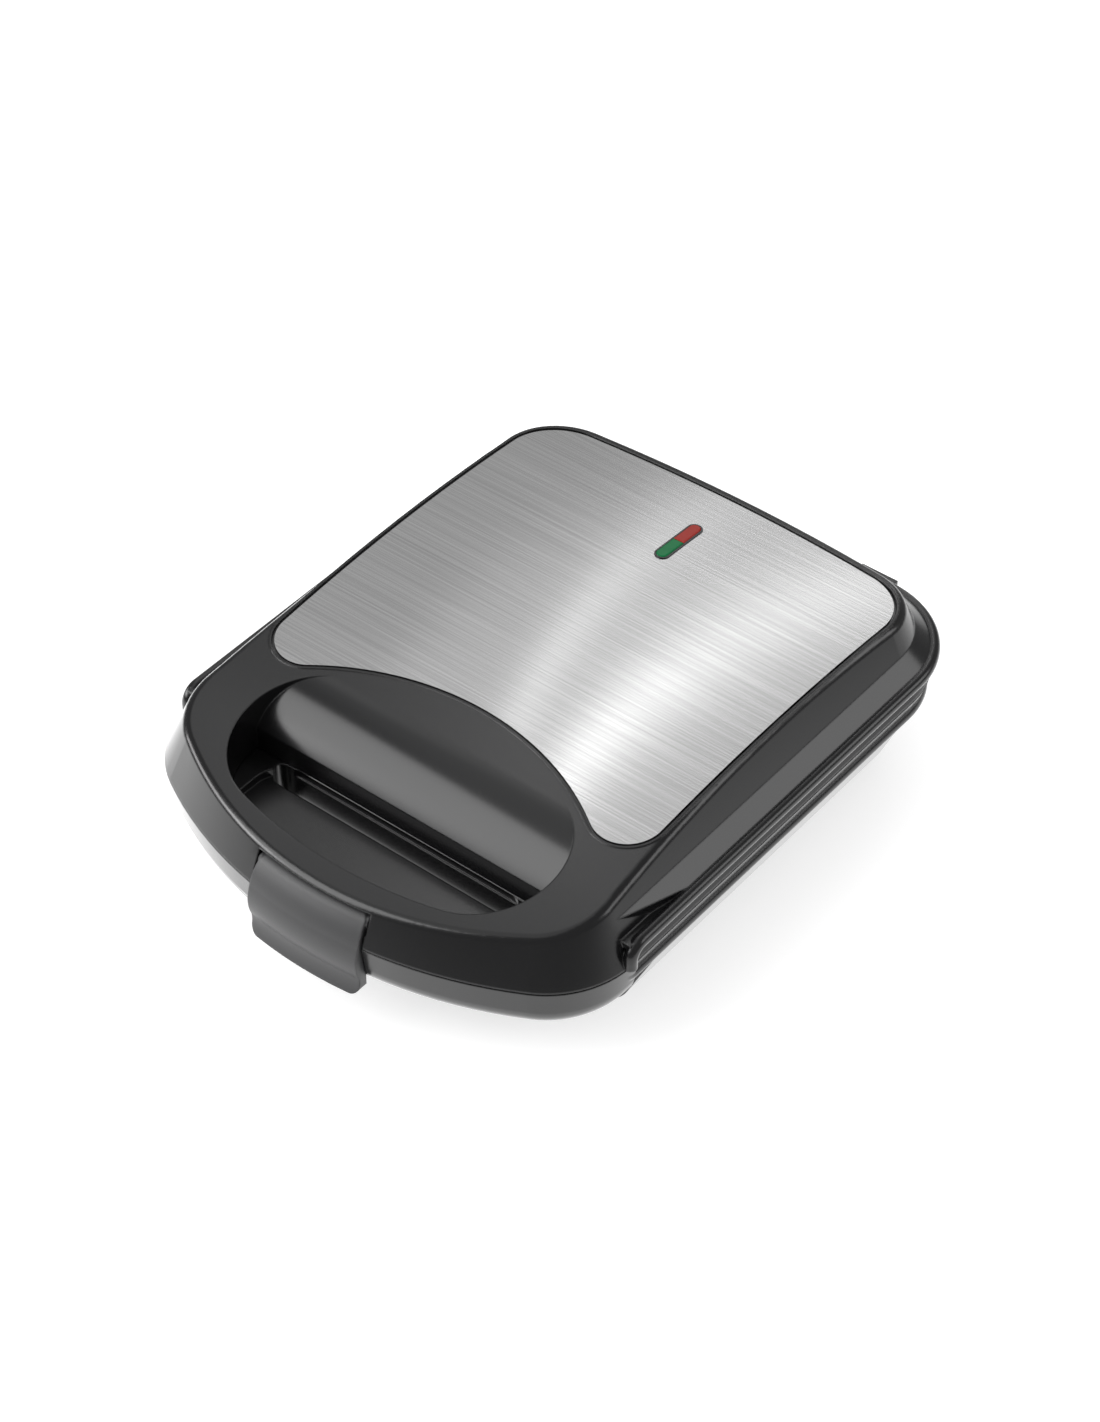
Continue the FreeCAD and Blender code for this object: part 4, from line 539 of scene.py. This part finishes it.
def seen_as_background(tree):
    """Two switches: 1 for rays from the camera, off gloss or through glass, and 1 for those off gloss."""
    path = add(tree, "ShaderNodeLightPath", {})
    first = add(tree, "ShaderNodeMath", {0: path.outputs["Is Camera Ray"], 1: path.outputs["Is Glossy Ray"]},
                operation="MAXIMUM")
    both = add(tree, "ShaderNodeMath", {0: first.outputs["Value"], 1: path.outputs["Is Transmission Ray"]},
               operation="MAXIMUM")
    return both.outputs["Value"], path.outputs["Is Glossy Ray"]


def painted_pool_of_light(tree, place):
    """Painted pool of light in the paper, seen only in glossy surfaces: bright near the object, most at its
    left, dim far out.
    """
    reach = add(tree, "ShaderNodeVectorMath", {0: place}, operation="LENGTH")
    near = add(tree, "ShaderNodeMapRange", {
        "Value": reach.outputs["Value"], "From Min": 0.3, "From Max": 1.0, "To Min": 1.4, "To Max": 0.15})
    aside = add(tree, "ShaderNodeVectorMath", {0: place, 1: PAINTED_POOL_CENTRE}, operation="DISTANCE")
    left = add(tree, "ShaderNodeMapRange", {
        "Value": aside.outputs["Value"], "From Min": 0.15, "From Max": 0.4, "To Min": 1.2, "To Max": 0.0})
    total = add(tree, "ShaderNodeMath", {
        0: near.outputs["Result"], 1: left.outputs["Result"]}, operation="ADD")
    return total.outputs["Value"]


def paper_floor():
    """White paper that gives part of its white itself, so that it reads white and still holds the shadow;
    glossy surfaces see a painted pool of light in it instead.
    """
    material, tree = start_material("White paper sweep")
    place = add(tree, "ShaderNodeTexCoord", {}).outputs["Object"]
    rgb = stage_settings().floor_colour
    fibre = add(tree, "ShaderNodeTexNoise", {"Vector": place, "Scale": 1 / FIBRE_SIZE, "Detail": 2.0})
    tint = add(tree, "ShaderNodeMix", {
        "Factor": fibre.outputs["Fac"], "A": shift(rgb, 0.995), "B": opaque(rgb)}, data_type="RGBA")
    paper = add(tree, "ShaderNodeBsdfDiffuse", {"Color": tint.outputs["Result"]})
    shaded = add(tree, "ShaderNodeBsdfDiffuse", {"Color": shift(rgb, PAPER_LIT)})
    glow = add(tree, "ShaderNodeEmission", {"Color": WHITE, "Strength": PAPER_GLOW})
    seen = add(tree, "ShaderNodeAddShader", {0: shaded.outputs["BSDF"], 1: glow.outputs["Emission"]})
    # Painted pool of light, seen only by glossy rays, which puts painted reflections on the black plastic
    painted_pool_glow = add(tree, "ShaderNodeEmission", {"Color": WHITE, "Strength": painted_pool_of_light(tree, place)})
    background, gloss = seen_as_background(tree)
    mirrored = add(tree, "ShaderNodeMixShader", {
        0: gloss, 1: seen.outputs["Shader"], 2: painted_pool_glow.outputs["Emission"]})
    mix = add(tree, "ShaderNodeMixShader", {
        0: background, 1: paper.outputs["BSDF"], 2: mirrored.outputs["Shader"]})
    add(tree, "ShaderNodeOutputMaterial", {"Surface": mix.outputs["Shader"]})
    return material


def studio_world():
    """Even light from the room. The camera sees it as white, and glossy surfaces as a darker room."""
    world = bpy.data.worlds.new("Studio")
    world.use_nodes = True
    tree = world.node_tree
    tree.nodes.clear()
    path = add(tree, "ShaderNodeLightPath", {})
    level = add(tree, "ShaderNodeMapRange", {
        "Value": path.outputs["Is Glossy Ray"], "To Min": ROOM_LIGHT, "To Max": ROOM_SHINE})
    room = add(tree, "ShaderNodeBackground", {"Color": WHITE, "Strength": level.outputs["Result"]})
    white = add(tree, "ShaderNodeBackground", {"Color": WHITE, "Strength": BACKGROUND_WHITE})
    mix = add(tree, "ShaderNodeMixShader", {
        0: path.outputs["Is Camera Ray"], 1: room.outputs["Background"], 2: white.outputs["Background"]})
    add(tree, "ShaderNodeOutputWorld", {"Surface": mix.outputs["Shader"]})
    return world


def photo_camera():
    """The camera of the photo, at its place and turned to its aim."""
    settings = stage_settings()
    data = bpy.data.cameras.new("photo_camera")
    data.lens = settings.lens
    data.sensor_width = SENSOR_WIDTH
    data.sensor_fit = "AUTO"
    camera = bpy.data.objects.new("photo_camera", data)
    bpy.context.scene.collection.objects.link(camera)
    camera.location = settings.camera_place
    sight = Vector(settings.camera_aim) - Vector(settings.camera_place)
    camera.rotation_euler = sight.to_track_quat("-Z", "Y").to_euler()
    return camera


class DONUT_OT_stage(bpy.types.Operator):
    """White floor, studio light and the photo's camera"""
    bl_idname = "donut_maker.stage"
    bl_label = "Stage"

    def execute(self, context):
        scene = context.scene
        bpy.ops.object.select_all(action="DESELECT")
        bpy.ops.mesh.primitive_plane_add(size=stage_settings().floor_size)
        floor = context.object
        floor.name = "paper_floor"
        floor.data.materials.append(paper_floor())
        scene.world = studio_world()
        for lamp in LAMPS:
            softbox(lamp)
        scene.view_settings.view_transform = "Standard"
        scene.camera = photo_camera()
        return {"FINISHED"}


OPERATORS = (DONUT_OT_housings, DONUT_OT_panel, DONUT_OT_indicator, DONUT_OT_latch, DONUT_OT_plates,
             DONUT_OT_heating, DONUT_OT_hardware, DONUT_OT_stage)


class DONUT_PT_looks(bpy.types.Panel):
    """Sidebar panel with each step of the donut maker's looks"""
    bl_idname = "DONUT_PT_looks"
    bl_label = "Donut maker"
    bl_space_type = "VIEW_3D"
    bl_region_type = "UI"
    bl_category = "Donut maker"

    def draw(self, context):
        for step in OPERATORS:
            self.layout.operator(step.bl_idname)


CLASSES = (DonutMakerFinish, DonutMakerStage, *OPERATORS, DONUT_PT_looks)


def register():
    for item in CLASSES:
        bpy.utils.register_class(item)
    bpy.types.Scene.donut_maker_finish = bpy.props.PointerProperty(type=DonutMakerFinish)
    bpy.types.Scene.donut_maker_stage = bpy.props.PointerProperty(type=DonutMakerStage)


def unregister():
    del bpy.types.Scene.donut_maker_stage
    del bpy.types.Scene.donut_maker_finish
    for item in reversed(CLASSES):
        bpy.utils.unregister_class(item)


def main():
    register()
    bpy.ops.donut_maker.housings()
    bpy.ops.donut_maker.panel()
    bpy.ops.donut_maker.indicator()
    bpy.ops.donut_maker.latch()
    bpy.ops.donut_maker.plates()
    bpy.ops.donut_maker.heating()
    bpy.ops.donut_maker.hardware()
    bpy.ops.donut_maker.stage()


if __name__ == "__main__":
    main()
